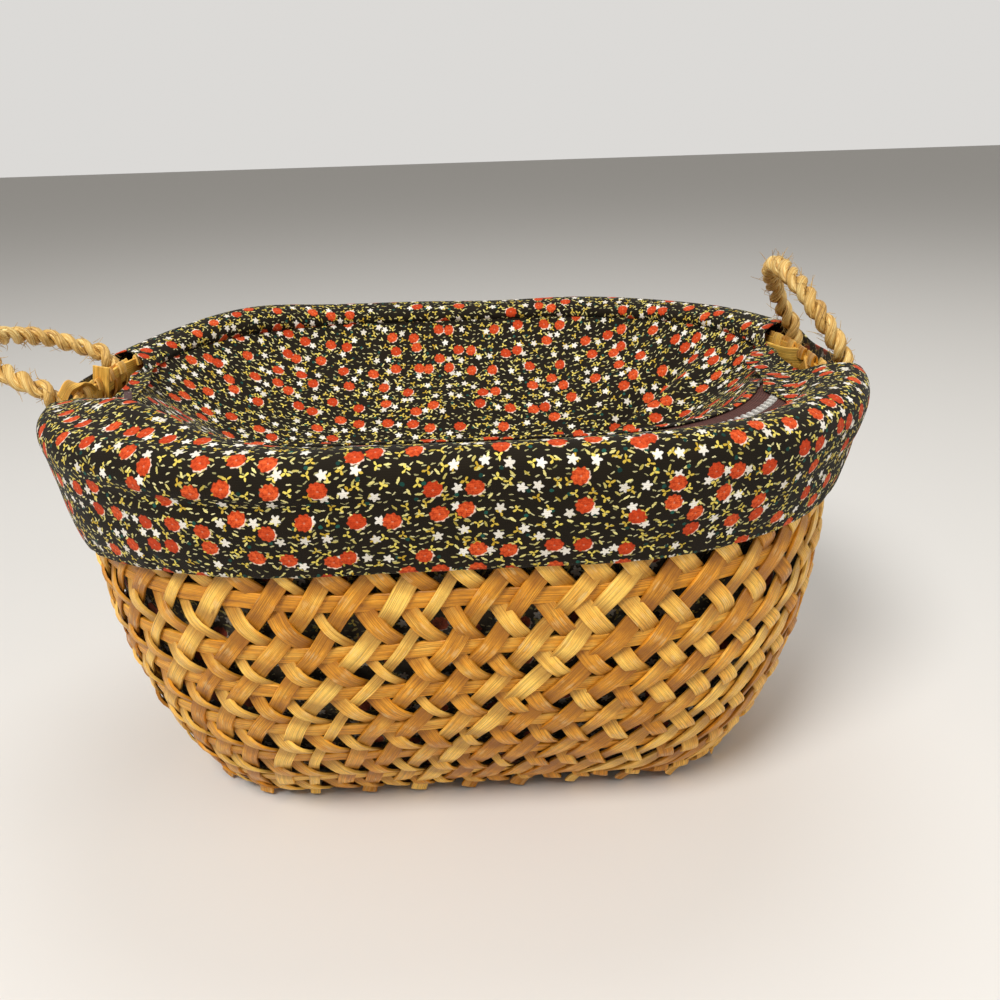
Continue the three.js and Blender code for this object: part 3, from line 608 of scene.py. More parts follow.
# %% Motifs of the print
def motif_cells(tree, spot, index, cell, spin):
    """Irregular grid of cells: the place from each one's centre, turned, and three random numbers."""
    grid = add(tree, "ShaderNodeVectorMath", {
        0: spot, 1: (UV_UNIT / cell,) * 3, 2: (7.3 * index, 3.1 * index, 0)}, operation="MULTIPLY_ADD")
    cells = add(tree, "ShaderNodeTexVoronoi", {
        "Vector": grid, "Scale": 1.0, "Randomness": 0.72}, voronoi_dimensions="2D", feature="F1")
    chance = add(tree, "ShaderNodeSeparateColor", {"Color": cells.outputs["Color"]})
    local = add(tree, "ShaderNodeVectorMath", {0: grid, 1: cells.outputs["Position"]}, operation="SUBTRACT")
    angle = add(tree, "ShaderNodeMath", {
        0: chance.outputs["Red"], 1: spin, 2: -spin / 2}, operation="MULTIPLY_ADD")
    turned = add(tree, "ShaderNodeVectorRotate", {"Vector": local, "Angle": angle}, rotation_type="Z_AXIS")
    return turned, chance


def flower_ink(tree, ink, sized, parts, far):
    """Petal marks, a pale rim on one side and a pale eye."""
    petals = add(tree, "ShaderNodeTexNoise", {"Vector": sized, "Scale": 2.6, "Detail": 3.0})
    petals = add(tree, "ShaderNodeMapRange", {"Value": petals, "From Min": 0.36, "From Max": 0.6})
    ink = add(tree, "ShaderNodeMix", {"Factor": petals, "A": linear("#a5310f"), "B": ink}, data_type="RGBA")
    side = add(tree, "ShaderNodeMath", {0: parts.outputs["X"], 1: parts.outputs["Y"]}, operation="SUBTRACT")
    side = add(tree, "ShaderNodeMath", {0: side, 1: 0.36, 2: far}, operation="MULTIPLY_ADD")
    side = add(tree, "ShaderNodeMapRange", {
        "Value": side, "From Min": 1.08, "From Max": 1.18, "To Max": 0.9})
    ink = add(tree, "ShaderNodeMix", {
        "Factor": side, "A": ink.outputs["Result"], "B": linear("#f4dcc6")}, data_type="RGBA")
    eye = add(tree, "ShaderNodeMapRange", {"Value": far, "From Min": 0.13, "From Max": 0.08, "To Max": 0.2})
    ink = add(tree, "ShaderNodeMix", {
        "Factor": eye, "A": ink.outputs["Result"], "B": linear("#f0c9a8")}, data_type="RGBA")
    return ink.outputs["Result"]


print("motifs: one in cells of", [motif[1] for motif in MOTIFS], "mm")

# %% Cloth with its print
THREADS = 42.0  # gives a thread every 0.75 mm, coarser than the real 0.35 mm so that it shows


def printed_cotton(name, ground, faded):
    """faded is how far the colours are lost, as on the wrong side of the cloth."""
    material, tree, shader = new_material(name)
    uv = add(tree, "ShaderNodeUVMap", uv_map="cloth")
    ragged = add(tree, "ShaderNodeTexNoise", {"Vector": uv, "Scale": 120.0, "Detail": 1.0})
    ragged = add(tree, "ShaderNodeVectorMath", {
        0: ragged.outputs["Color"], 1: (0.5, 0.5, 0.5)}, operation="SUBTRACT")
    spot = add(tree, "ShaderNodeVectorMath", {
        0: ragged, 1: (0.0065, 0.0065, 0.0), 2: uv}, operation="MULTIPLY_ADD")
    cloth = add(tree, "ShaderNodeTexNoise", {"Vector": uv, "Scale": 9.0, "Detail": 3.0})
    colour = add(tree, "ShaderNodeMix", {
        "Factor": cloth, "A": linear(ground[0]), "B": linear(ground[1])},
        data_type="RGBA").outputs["Result"]
    for index, (motif, cell, reach, lobes, depth, share, spin, shades) in enumerate(MOTIFS):
        turned, chance = motif_cells(tree, spot, index, cell, spin)
        sized = add(tree, "ShaderNodeVectorMath", {
            0: turned, 1: (cell / reach[0], cell / reach[1], 0)}, operation="MULTIPLY")
        parts = add(tree, "ShaderNodeSeparateXYZ", {0: sized})
        far = add(tree, "ShaderNodeVectorMath", {0: sized}, operation="LENGTH").outputs["Value"]
        edge = 1.0
        if lobes:
            angle = add(tree, "ShaderNodeMath", {
                0: parts.outputs["Y"], 1: parts.outputs["X"]}, operation="ARCTAN2")
            waves = add(tree, "ShaderNodeMath", {0: angle, 1: float(lobes)}, operation="MULTIPLY")
            waves = add(tree, "ShaderNodeMath", {0: waves}, operation="COSINE")
            edge = add(tree, "ShaderNodeMath", {0: waves, 1: depth, 2: 1 - depth}, operation="MULTIPLY_ADD")
        inside = add(tree, "ShaderNodeMath", {0: edge, 1: far}, operation="SUBTRACT")
        mask = add(tree, "ShaderNodeMapRange", {"Value": inside, "From Min": 0.0, "From Max": 0.12})
        kept = add(tree, "ShaderNodeMath", {0: chance.outputs["Green"], 1: share}, operation="LESS_THAN")
        mask = add(tree, "ShaderNodeMath", {0: mask, 1: kept}, operation="MULTIPLY")
        ink = add(tree, "ShaderNodeMix", {
            "Factor": chance.outputs["Blue"], "A": linear(shades[0]), "B": linear(shades[1])},
            data_type="RGBA").outputs["Result"]
        if motif == "flower":
            ink = flower_ink(tree, ink, sized, parts, far)
        colour = add(tree, "ShaderNodeMix", {
            "Factor": mask, "A": colour, "B": ink}, data_type="RGBA").outputs["Result"]
    if faded:
        # the colours fade towards a dark grey: partly the dull back of the cloth, partly painted shade, set
        # darker than the cloth's own
        blotch = add(tree, "ShaderNodeTexNoise", {"Vector": uv, "Scale": 26.0, "Detail": 3.0})
        blotch = add(tree, "ShaderNodeMapRange", {
            "Value": blotch, "From Min": 0.3, "From Max": 0.7,
            "To Min": faded - 0.2, "To Max": faded + 0.15})
        colour = add(tree, "ShaderNodeMix", {
            "Factor": blotch, "A": colour, "B": linear("#453f35")}, data_type="RGBA").outputs["Result"]
    warp = add(tree, "ShaderNodeTexWave", {
        "Vector": uv, "Scale": THREADS, "Distortion": 1.2, "Detail": 1.0}, bands_direction="X")
    weft = add(tree, "ShaderNodeTexWave", {
        "Vector": uv, "Scale": THREADS, "Distortion": 1.2, "Detail": 1.0}, bands_direction="Y")
    weave = add(tree, "ShaderNodeMath", {0: warp, 1: weft}, operation="ADD")
    bump = add(tree, "ShaderNodeBump", {"Height": weave, "Strength": 0.25, "Distance": 0.0002})
    tree.links.new(colour, shader.inputs["Base Color"])
    tree.links.new(bump.outputs[0], shader.inputs["Normal"])
    shader.inputs["Roughness"].default_value = 0.85
    shader.inputs["Sheen Weight"].default_value = 0.04
    shader.inputs["Sheen Roughness"].default_value = 0.4
    shader.inputs["IOR"].default_value = 1.45
    shader.inputs["Specular IOR Level"].default_value = 0.15
    return material


# matte black cotton with clear colours, and its duller back, where the ink hardly comes through
print_right = printed_cotton("printed cotton, right side", ("#130e07", "#1f180d"), 0.0)
# the wrong side's ground is the cloth's dull back, set darker still as painted shade for the liner seen
# through the weave
print_wrong = printed_cotton("printed cotton, wrong side", ("#1c1a15", "#28251e"), 0.66)
print("finishes:", print_right.name, "and", print_wrong.name)

# %% [markdown]
# ## The cuff
#
# The liner's top is turned out over the rim, stuffed by its own fullness into a soft roll and
# drawn in below by elastic. At each end it has a slit for a rope. The section is one smooth
# line from the hem, up over the roll and down inside to the zip. The slit opens the sheet along
# the roll's crest: there the outer and the inner half part from each other, and everywhere else
# they share one row of points.

# %% The cuff
CLOTH = 0.5
rope_high = box_mm("right_handle_rope")[1]
CUFF_LINE = [(4.7, -37.0), (7.4, -29.5), (9.9, -21.0), (12.1, -12.0), (13.6, -4.0), (12.5, 1.8),
             (7.6, 5.2), (1.0, 5.0), (-5.4, 2.6), (-8.6, -0.6), (-9.6, -2.6), (-12.5, -3.4)]  # offset, rise
LEG_TUCK = 10.0  # how far the inner leg stays back under the roll, at the back
LEG_REACH = 13.0  # how much further in it comes beside the two slits
TUCK_START = (20, 60)  # along y: where the tuck starts, and over what length
REACH_START, REACH_STOP = (-75, 24), (0, 35)  # the same for the reach, and for its end
REACH_LEFT = 0.5  # share of the reach at the left end
SWELL = np.array([-118.0, -88.0])  # the front left corner, where the roll is fullest
SWELL_SPREAD, SWELL_RISE, SWELL_IN = 46.0, 9.0, 12.0
LIFTS = [  # the roll's own ups and downs: x, y, spread, rise
    (-98, 92, 34, 4.5), (-146, 40, 24, -3.0), (-152, -24, 34, -4.5),
]
OVERHANG, UNDERCUT = (0.48, 0.06), (0.39, 0.045)  # a fold on the front: share of the section, width
FOLD_TURN = (0.665, 0.055)  # where round the basket that fold is, and how far it goes
HEM_DIP = (-151, -30, 75, 14.0)  # x, y, spread, fall: the hem hangs lower at the left end
SLIT_HALF = rope_high[1] + 4.0
SLIT_OUT = 36.0  # cloth left outside each slit, up from the hem
SLIT_IN = 4.5  # cloth left inside it
print("slits:", round(2 * SLIT_HALF), "mm long")


# %% Lines and ripples
def smooth_line(points, count):
    """Even samples of a Catmull-Rom curve through points, and its length."""
    control = np.asarray(points, float)
    padded = np.vstack([2 * control[0] - control[1], control, 2 * control[-1] - control[-2]])
    share = np.linspace(0, len(control) - 1 - 1e-9, 40 * len(control))
    index = share.astype(int)
    t = (share - index)[:, None]
    p0, p1, p2, p3 = (padded[index + k] for k in range(4))
    dense = 0.5 * (2 * p1 + (p2 - p0) * t + (2 * p0 - 5 * p1 + 4 * p2 - p3) * t ** 2
                   + (3 * p1 - p0 - 3 * p2 + p3) * t ** 3)
    run = np.concatenate([[0], np.cumsum(np.linalg.norm(np.diff(dense, axis=0), axis=1))])
    even = np.linspace(0, run[-1], count)
    return np.stack([np.interp(even, run, column) for column in dense.T], -1), run[-1]


def ripple(turn, share, waves, seed):
    """Soft unevenness that closes on itself round the basket."""
    own = np.random.default_rng(seed)
    total = 0.0
    for wave, height in waves:
        phase = own.random() + own.uniform(-0.7, 0.7) * share
        total = total + height * np.sin(2 * np.pi * (wave * turn + phase))
    return total


def smooth_step(value):
    t = np.clip(value, 0, 1)
    return t * t * (3 - 2 * t)


section_line, section_length = smooth_line(CUFF_LINE, 240)
CREST = section_line[:, 1].argmax() / (len(section_line) - 1)  # where the slits open
print("section of the cuff:", round(section_length), "mm")


# %% Shape of the cuff
def leg_shift(x, y):
    """How far the inner leg's end moves out: under the roll at the back, inwards at the two ends."""
    beside = smooth_step((y - REACH_START[0]) / REACH_START[1])
    beside = beside * (1 - smooth_step((y - REACH_STOP[0]) / REACH_STOP[1]))
    tuck = smooth_step((y - TUCK_START[0]) / TUCK_START[1])
    return LEG_TUCK * tuck - LEG_REACH * beside * np.where(x > 0, 1, REACH_LEFT)


slit_samples = np.linspace(0, 0.2, 2001)
slit_y = outline_spot(slit_samples, np.full(2001, HEIGHT))[0][:, 1]
SLIT_TURN = float(np.interp(SLIT_HALF, slit_y, slit_samples))


def slit_open(turn):
    """How far the slit at the nearer end is open there, from 0 to 1."""
    from_end = np.abs((turn + 0.25) % 0.5 - 0.25) / SLIT_TURN
    return np.clip(1 - from_end ** 8, 0, 1)


def cuff_point(turn, share):
    """Point of the cuff at a share of its section, with the roll's unevenness."""
    where = np.clip(share, 0, 1) * (len(section_line) - 1)
    low = np.minimum(where.astype(int), len(section_line) - 2)
    part = (where - low)[..., None]
    offset, rise = np.moveaxis(section_line[low] * (1 - part) + section_line[low + 1] * part, -1, 0)
    spot = outline_spot(turn, np.full(turn.shape, HEIGHT))[0]
    inner = np.clip((share - CREST) / (1 - CREST), 0, 1)
    full = np.exp(-(((spot - SWELL) / SWELL_SPREAD) ** 2).sum(-1))
    offset = offset + leg_shift(spot[..., 0], spot[..., 1]) * inner ** 7 - SWELL_IN * full * inner
    rise = rise + SWELL_RISE * full * np.sin(np.pi * inner ** 1.4)
    for x, y, spread, height in LIFTS:
        near = np.exp(-(((spot - [x, y]) / spread) ** 2).sum(-1))
        rise = rise + height * near * smooth_step((share - 0.25) / 0.3) * (1 - inner ** 3)
    x, y, spread, fall = HEM_DIP
    near = np.exp(-(((spot - [x, y]) / spread) ** 2).sum(-1))
    rise = rise - fall * near * (1 - smooth_step(share / 0.45))
    belly = np.sin(np.pi * np.clip(share / 0.8, 0, 1)) ** 1.5
    puff = ripple(turn, share, [(5, 0.7), (9, 0.55), (14, 0.45), (23, 0.3)], 3)
    gather = ripple(turn, share, [(61, 0.22), (83, 0.2), (107, 0.15)], 4)
    drawn = np.exp(-((share - 0.05) / 0.07) ** 2)
    crease = ripple(turn, share, [(3, 0.5), (7, 0.5)], 5) * np.exp(-((share - 0.27) / 0.06) ** 2)
    overhang = np.exp(-((share - OVERHANG[0]) / OVERHANG[1]) ** 2)
    overhang = overhang - 2 * np.exp(-((share - UNDERCUT[0]) / UNDERCUT[1]) ** 2)
    overhang = overhang * np.exp(-((turn - FOLD_TURN[0]) / FOLD_TURN[1]) ** 2)
    offset = offset + puff * belly + gather * drawn + crease + overhang
    sway = ripple(turn, share, [(6, 0.36), (11, 0.27)], 6)
    return wall(turn, HEIGHT + rise + sway * np.sin(np.pi * np.clip(share, 0, 1)), offset)[0]


print("crest at", round(float(cuff_point(np.array([0.25]), np.array([CREST]))[0][2])), "mm at the back")

# %% Cloth of the cuff
COLUMNS = 520
ROWS_OUT = 40
ROWS_IN = 20


def build_cuff():
    turns = np.arange(COLUMNS) / COLUMNS
    open_share = slit_open(turns)
    lip_out = CREST + (SLIT_OUT / section_length - CREST) * open_share
    lip_in = CREST + (1 - SLIT_IN / section_length - CREST) * open_share
    outer = np.linspace(0, 1, ROWS_OUT)[:, None] * lip_out
    inner = lip_in + np.linspace(0, 1, ROWS_IN)[:, None] * (1 - lip_in)
    shares = np.concatenate([outer, inner])
    grid = cuff_point(np.broadcast_to(turns, shares.shape), shares)
    climb = np.linalg.norm(np.diff(grid, axis=0), axis=-1).cumsum(0)
    climb = np.concatenate([np.zeros((1, COLUMNS)), climb])
    points = grid.reshape(-1, 3)
    ring = cuff_point(turns, np.full(COLUMNS, 0.4))
    steps = np.linalg.norm(np.roll(ring, -1, 0) - ring, axis=1)
    round_run = np.concatenate([[0], np.cumsum(steps)])

    def vertex(row, column):
        column %= COLUMNS
        if row == ROWS_OUT and open_share[column] <= 0:
            row = ROWS_OUT - 1
        return row * COLUMNS + column

    faces, uvs = [], []
    for row in range(len(shares) - 1):
        if row == ROWS_OUT - 1:
            continue
        for column in range(COLUMNS):
            corners = [(row, column), (row, column + 1), (row + 1, column + 1), (row + 1, column)]
            faces.append([vertex(*corner) for corner in corners])
            uvs.extend((round_run[c] / UV_UNIT, climb[r, c % COLUMNS] / UV_UNIT) for r, c in corners)
    used = np.unique(np.array(faces))
    lookup = np.full(len(points), -1)
    lookup[used] = np.arange(len(used))
    return points[used], lookup[np.array(faces)].tolist(), uvs, round_run[-1]


def give_thickness(sheet, offset):
    """Cloth with the right side as drawn and the wrong side behind it."""
    cloth_wall = sheet.modifiers.new("cloth", "SOLIDIFY")
    cloth_wall.thickness = CLOTH * MM
    cloth_wall.offset = offset
    cloth_wall.material_offset = 1


cuff_points, cuff_faces, cuff_uvs, cuff_round = build_cuff()
cuff = link_mesh("printed_cuff", cuff_points, cuff_faces, [print_right, print_wrong], cuff_uvs)
give_thickness(cuff, 0)
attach(cuff, "basket")
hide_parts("cuff")
print("cuff:", round(cuff_round), "x", round(section_length), "mm of cloth")

# %% [markdown]
# ## The rim's core and its loose ends
#
# The rim is a hoop that the stakes fold over. In the two slits it is bare, and there some of the
# strips' ends stand loose: folded inwards, split into narrow slivers or curled up.

# %% The rim's core and its loose ends
RIM_STRIP = 8.0
RIM_DROP = 4.5  # the core's middle, below the rim's top
RIM_POINTS = 240
LOOSE_ENDS = [
    # width, direction across the strip, points
    (9.0, (0.2, -0.3, -0.93), [(146, 38, 163.5), (149, 18, 165), (152, 0, 168.5)]),
    (9.0, (0.1, -0.2, -0.97), [(146.5, 22, 155), (148, 13, 156), (150, 4, 157.5)]),
    (3.4, (1.0, 0.0, 0.1), [(151, -3, 170), (151.5, -8, 163), (152, -12, 155)]),
    (6.8, (1.0, 0.0, 0.0), [(-151.5, -1, 164), (-150.5, -1, 170), (-149, -2, 177)]),
    (4.5, (0.2, 0.9, -0.3), [(-151.5, -42, 174), (-152, -30, 176.5), (-151, -18, 173), (-151, -10, 168)]),
    (4.0, (0.6, 0.1, 0.75), [(-154, -25, 174), (-153.5, -20, 170.5), (-152.5, -16, 166.5)]),
]


def loose_end(width, across, points):
    line = smooth_line(points, 24)[0]
    faces = np.cross(across, np.gradient(line, axis=0))
    faces /= np.linalg.norm(faces, axis=1, keepdims=True)
    return {"points": line, "faces": faces, "strip": 0.7 + 0.3 * rng.random(), "lift": 0.75,
            "taper": width / RIM_STRIP}


rim_core = sweep(
    "rim_core", [hoop_path(HEIGHT - RIM_DROP, RIM_POINTS)] + [loose_end(*end) for end in LOOSE_ENDS],
    RIM_STRIP, STRIP, cane_skin, crown=0.2)
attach(rim_core, "basket")
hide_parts("rim_core_hoop")

# %% [markdown]
# ## The cover
#
# One loose piece of cloth closes the top. Its back is sewn to the cuff under the roll, its front is
# zipped, and it is cut so full that it hangs into the basket like a shallow bag. A cloth simulation
# would hang it at random, so its fall is a formula: along every line from its lowest point to its
# edge the cloth climbs as a power of the way, steepest at the edge, and creases are added to that.
# The shape is then laid flat to find where its print goes, so flowers keep their size on the
# slopes.

# %% The cover
flap_high = box_mm("cover_flap")[1]
tape_low, tape_high = box_mm("zip_tape_basket")
joints = {joint["name"]: joint for joint in frame["record"]["behaviour"]["joints"]}
FOLD_Y = joints["cover_flap_fold"]["pos_m"][1] / MM
ZIP_INSET = 20.0
ZIP_END = tape_high[1]
FLAP_INSET = 27.8
BACK_INSET = 4.0
LEFT_EASE = 5.0  # how far the front edge goes out towards the parked slider
END_PINCH = 14.0  # how far the back's edge comes in beside the ends of the zip
FRONT_EDGE = flap_high[2] - 0.6
BACK_EDGE = tape_high[2]
BACK_LIFT = 1.8  # the cover comes out higher up under the roll at the back
HEM = 3.0  # flat cloth along the edge
SAG = 52.0
LOW_Y = 15.0  # where the cover hangs lowest
SIDE_FALL, END_FALL = 2.1, 2.6  # power of the climb towards the long sides and towards the ends
COVER_COLUMNS = 150
COVER_ROWS = 110
FLAT_ROUNDS, FLAT_STEP = 500, 0.24  # steps that lay the cloth flat, and the share mended in each
# where along y the ease, the pinch and the lift of the edge start, and how soon they are full
EASE_FROM, EASE_OVER = -62.0, 26.0
PINCH_FROM, PINCH_OVER = 30.0, 50.0
LIFT_FROM, LIFT_OVER = 30.0, 60.0
BACK_START = 4.0  # the sewn edge starts this far behind the fold
CREASES = [
    # x, y, angle (degrees), length, width, height in mm
    (82, 50, 30, 95, 7.0, -9.0), (92, 36, 30, 110, 8.0, 8.0), (0, 72, 3, 230, 12.0, 3.0),
    (20, 45, 8, 130, 10.0, -2.0), (-60, 30, -22, 100, 10.0, 2.0), (-95, 10, -48, 60, 9.0, -2.4),
    (-20, -40, 4, 120, 11.0, -1.3), (40, 90, -12, 80, 8.0, 1.2), (-60, 85, 18, 90, 8.0, 1.4),
]
print("cover: fold at y", round(FOLD_Y), "mm, edge at", round(FRONT_EDGE), "and", round(BACK_EDGE), "mm")


# %% Shape of the cover
def half_outline(inset, end, side, count):
    """Outline inside the rim from the right end of a half to its left end, evenly spaced."""
    centre_x, centre_y = RIM_HALF[0] - RIM_CORNER, RIM_HALF[1] - RIM_CORNER
    r = RIM_CORNER - inset
    past = side * end - centre_y
    first = math.asin(past / r) if past > 0 else 0.0
    angles = np.linspace(first, np.pi / 2, 120)
    quarter = np.column_stack([centre_x + r * np.cos(angles), side * (centre_y + r * np.sin(angles))])
    if past <= 0:
        quarter = np.vstack([[centre_x + r, end], quarter])
    both = np.vstack([quarter, quarter[::-1] * [-1, 1]])
    run = np.concatenate([[0], np.cumsum(np.linalg.norm(np.diff(both, axis=0), axis=1))])
    even = np.linspace(0, run[-1], count)
    return np.column_stack([np.interp(even, run, both[:, k]) for k in range(2)])


def creases(x, y):
    rise = 0.6 * np.sin(x / 17 + 0.9 * np.sin(y / 21)) * np.sin(y / 15 + 1.1)
    for cx, cy, angle, length, width, height in CREASES:
        turned = math.radians(angle)
        along = (x - cx) * math.cos(turned) + (y - cy) * math.sin(turned)
        across = -(x - cx) * math.sin(turned) + (y - cy) * math.cos(turned)
        rise = rise + height * np.exp(-(across / width) ** 2 - (2 * along / length) ** 2)
    return rise


def hung_cloth(flat, edge, edge_z):
    """Heights of the cover over its plan, and the same points on the cloth laid flat."""
    spoke, rim = flat - [0, LOW_Y], edge - [0, LOW_Y]
    angle = np.arctan2(spoke[..., 1], spoke[..., 0])
    rim_angle = np.arctan2(rim[:, 1], rim[:, 0])
    reach = np.interp(angle, rim_angle, np.hypot(rim[:, 0], rim[:, 1]), period=2 * np.pi) - HEM
    top = np.interp(angle, rim_angle, edge_z, period=2 * np.pi)
    power = SIDE_FALL + (END_FALL - SIDE_FALL) * np.cos(angle) ** 2
    share = np.clip(np.hypot(spoke[..., 0], spoke[..., 1]) / reach, 0, 1)
    z = top - SAG * (1 - share ** power)
    z = z + creases(flat[..., 0], flat[..., 1]) * np.clip(5 * (1 - share), 0, 1)
    way = np.linspace(0, 1, 25)[:, None, None]
    slope = SAG * power * (share * way) ** (power - 1) / reach
    return z, spoke * np.hypot(1, slope).mean(0)[..., None]


def laid_flat(shape, guess):
    """Cloth in its own plane: points move until neighbours are as far apart as on the hung shape."""
    plane = guess.copy()
    rows, columns = plane.shape[:2]
    pairs = []
    for down, right in ((1, 0), (0, 1), (1, 1), (1, -1)):
        first = (slice(0, rows - down), slice(max(0, -right), columns - max(0, right)))
        second = (slice(down, rows), slice(max(0, right), columns - max(0, -right)))
        pairs.append((first, second, np.linalg.norm(shape[second] - shape[first], axis=-1)))
    for _ in range(FLAT_ROUNDS):
        for first, second, length in pairs:
            apart = plane[second] - plane[first]
            far = np.maximum(np.linalg.norm(apart, axis=-1), 1e-6)
            move = apart * (FLAT_STEP * (1 - length / far))[..., None]
            plane[first] += move
            plane[second] -= move
    return plane


print("cover: hangs", SAG, "mm with", len(CREASES), "creases")


# %% Cloth of the cover
def build_cover():
    front = half_outline(FLAP_INSET, ZIP_END, -1, COVER_COLUMNS)
    out = front - [RIM_CORNER - RIM_HALF[0], RIM_CORNER - RIM_HALF[1]]
    out /= np.linalg.norm(out, axis=1, keepdims=True)
    ease = LEFT_EASE * smooth_step((front[:, 1] - EASE_FROM) / EASE_OVER) * (front[:, 0] < 0)
    front = front + out * ease[:, None]
    back = half_outline(BACK_INSET, FOLD_Y + BACK_START, 1, COVER_COLUMNS)
    pinch = END_PINCH * smooth_step((PINCH_FROM - back[:, 1]) / PINCH_OVER)
    back[:, 0] -= np.sign(back[:, 0]) * pinch
    share = np.linspace(0, 1, COVER_ROWS)[:, None, None]
    flat = front * (1 - share) + back * share
    back_z = BACK_EDGE + BACK_LIFT * smooth_step((back[:, 1] - LIFT_FROM) / LIFT_OVER)
    edge_z = np.concatenate([np.full(COVER_COLUMNS, FRONT_EDGE), back_z])
    z, cloth = hung_cloth(flat, np.concatenate([front, back]), edge_z)
    shape = np.concatenate([flat, z[..., None]], -1)
    cloth = laid_flat(shape, cloth)
    points = shape.reshape(-1, 3)
    faces = []
    for row in range(COVER_ROWS - 1):
        for place in range(COVER_COLUMNS - 1):
            corner = row * COVER_COLUMNS + place
            faces.append([corner + COVER_COLUMNS, corner + COVER_COLUMNS + 1, corner + 1, corner])
    cloth = cloth.reshape(-1, 2)
    return points, faces, cloth[np.array(faces).ravel()] / UV_UNIT, np.ptp(cloth, axis=0)


cover_points, cover_faces, cover_uvs, cover_size = build_cover()
cover_sheet = link_mesh("cover_sheet", cover_points, cover_faces, [print_right, print_wrong], cover_uvs)
give_thickness(cover_sheet, -1)
cover = apply_nodes(cover_sheet, "printed_cover", 180)
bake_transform(cover)
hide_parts("cover_flap", "cover_back")

# %% [markdown]
# ## The liner
#
# Inside the cane hangs a bag of the same cloth, right side in. Its wrong side, dull and grey, and
# set darker than the cloth's own as painted shade, shows through the holes of the weave. Rings of
# points follow the wall, and a few smaller ones close the bottom. At the slits its top edge dips,
# so that the bare rim shows there.

# %% The liner
LINER_OFFSET = -4.4
LINER_FLOOR = 4.6
LINER_DIP = 11.0
LINER_COLUMNS = 240
LINER_RINGS = np.concatenate([np.linspace(5.0, 40, 16), np.linspace(44, HEIGHT - 2, 24)])
FLOOR_SHARES = (0.12, 0.35, 0.6, 0.85)
LINER_ROUND = 860.0  # length of cloth once round


def build_liner():
    turns = np.arange(LINER_COLUMNS) / LINER_COLUMNS
    rows = []
    for z in LINER_RINGS:
        waves = ripple(turns, z / HEIGHT, [(7, 0.25), (13, 0.2), (29, 0.12)], 8)
        dip = LINER_DIP * slit_open(turns) * np.clip((z - 120) / (HEIGHT - 122), 0, 1)
        rows.append(wall(turns, z - dip, LINER_OFFSET + waves)[0])
    centre = np.array([0, 0, LINER_FLOOR])
    flat = rows[0] * [1, 1, 0] + [0, 0, LINER_FLOOR]
    rows = [centre + (flat - centre) * share for share in FLOOR_SHARES] + rows
    points = np.concatenate([[centre], *rows])
    around = np.arange(LINER_COLUMNS)
    following = (around + 1) % LINER_COLUMNS
    faces = [[0, 1 + a, 1 + b] for a, b in zip(around, following)]
    uvs = [points[i][:2] for face in faces for i in face]
    climb = [np.linalg.norm(rows[i + 1][0] - rows[i][0]) for i in range(len(rows) - 1)]
    up = np.concatenate([[0], np.cumsum(climb)])
    step = LINER_ROUND / LINER_COLUMNS
    for row in range(len(rows) - 1):
        first = 1 + row * LINER_COLUMNS
        for a, b in zip(around, following):
            face = [first + a, first + LINER_COLUMNS + a, first + LINER_COLUMNS + b, first + b]
            faces.append(face)
            if row < len(FLOOR_SHARES):
                uvs.extend(points[i][:2] for i in face)
            else:
                uvs.extend([(a * step, up[row]), (a * step, up[row + 1]),
                            ((a + 1) * step, up[row + 1]), ((a + 1) * step, up[row])])
    return points, faces, np.array(uvs) / UV_UNIT


liner_points, liner_faces, liner_uvs = build_liner()
liner = link_mesh("cloth_liner", liner_points, liner_faces, [print_right, print_wrong], liner_uvs)
give_thickness(liner, -1)
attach(liner, "basket")
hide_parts("liner_wall", "liner_bottom")

# %% [markdown]
# ## Tape and elastic
#
# The zip's two tapes are flat woven ribbons of brown cotton, and a pale ribbed elastic runs in the
# cuff's hem. Both are strips along a path again. Their cords and ribs lie along or across the
# strip, so waves of the strip's own attributes draw them.

# %% Tape and elastic
RIB = 0.9  # millimetres between ribs
RIBBON = 7.5  # width that the ribs along a ribbon are counted on


def woven_ribbon(name, light, dark, axis):
    """Ribbed weave; axis is the strip's attribute that the ribs cross."""
    material, tree, shader = new_material(name)
    place = add(tree, "ShaderNodeAttribute", attribute_name=axis).outputs["Fac"]
    scale = 2 * math.pi / RIB if axis == "along" else 2 * math.pi * RIBBON / RIB
    ribs = add(tree, "ShaderNodeMath", {0: place, 1: scale}, operation="MULTIPLY")
    ribs = add(tree, "ShaderNodeMath", {0: ribs}, operation="SINE")
    along = add(tree, "ShaderNodeAttribute", attribute_name="along").outputs["Fac"]
    wear = add(tree, "ShaderNodeCombineXYZ", {"X": along, "Y": place})
    wear = add(tree, "ShaderNodeTexNoise", {"Vector": wear, "Scale": 0.3, "Detail": 3.0})
    shade = add(tree, "ShaderNodeMath", {0: ribs, 1: 0.25, 2: wear}, operation="MULTIPLY_ADD")
    shade = add(tree, "ShaderNodeMapRange", {"Value": shade, "From Min": 0.1, "From Max": 0.9})
    colour = add(tree, "ShaderNodeMix", {
        "Factor": shade, "A": linear(dark), "B": linear(light)}, data_type="RGBA")
    bump = add(tree, "ShaderNodeBump", {"Height": ribs, "Strength": 0.5, "Distance": 0.0002})
    tree.links.new(colour.outputs["Result"], shader.inputs["Base Color"])
    tree.links.new(bump.outputs[0], shader.inputs["Normal"])
    shader.inputs["Roughness"].default_value = 0.8
    shader.inputs["Specular IOR Level"].default_value = 0.2
    return material


tape_brown = woven_ribbon("woven zip tape, brown", "#5f3a33", "#38221e", "across")  # matte, fine cords
elastic_pale = woven_ribbon("woven elastic, pale", "#e2ddd2", "#a8a294", "along")  # ribs across the band
print("finishes:", tape_brown.name, "and", elastic_pale.name)

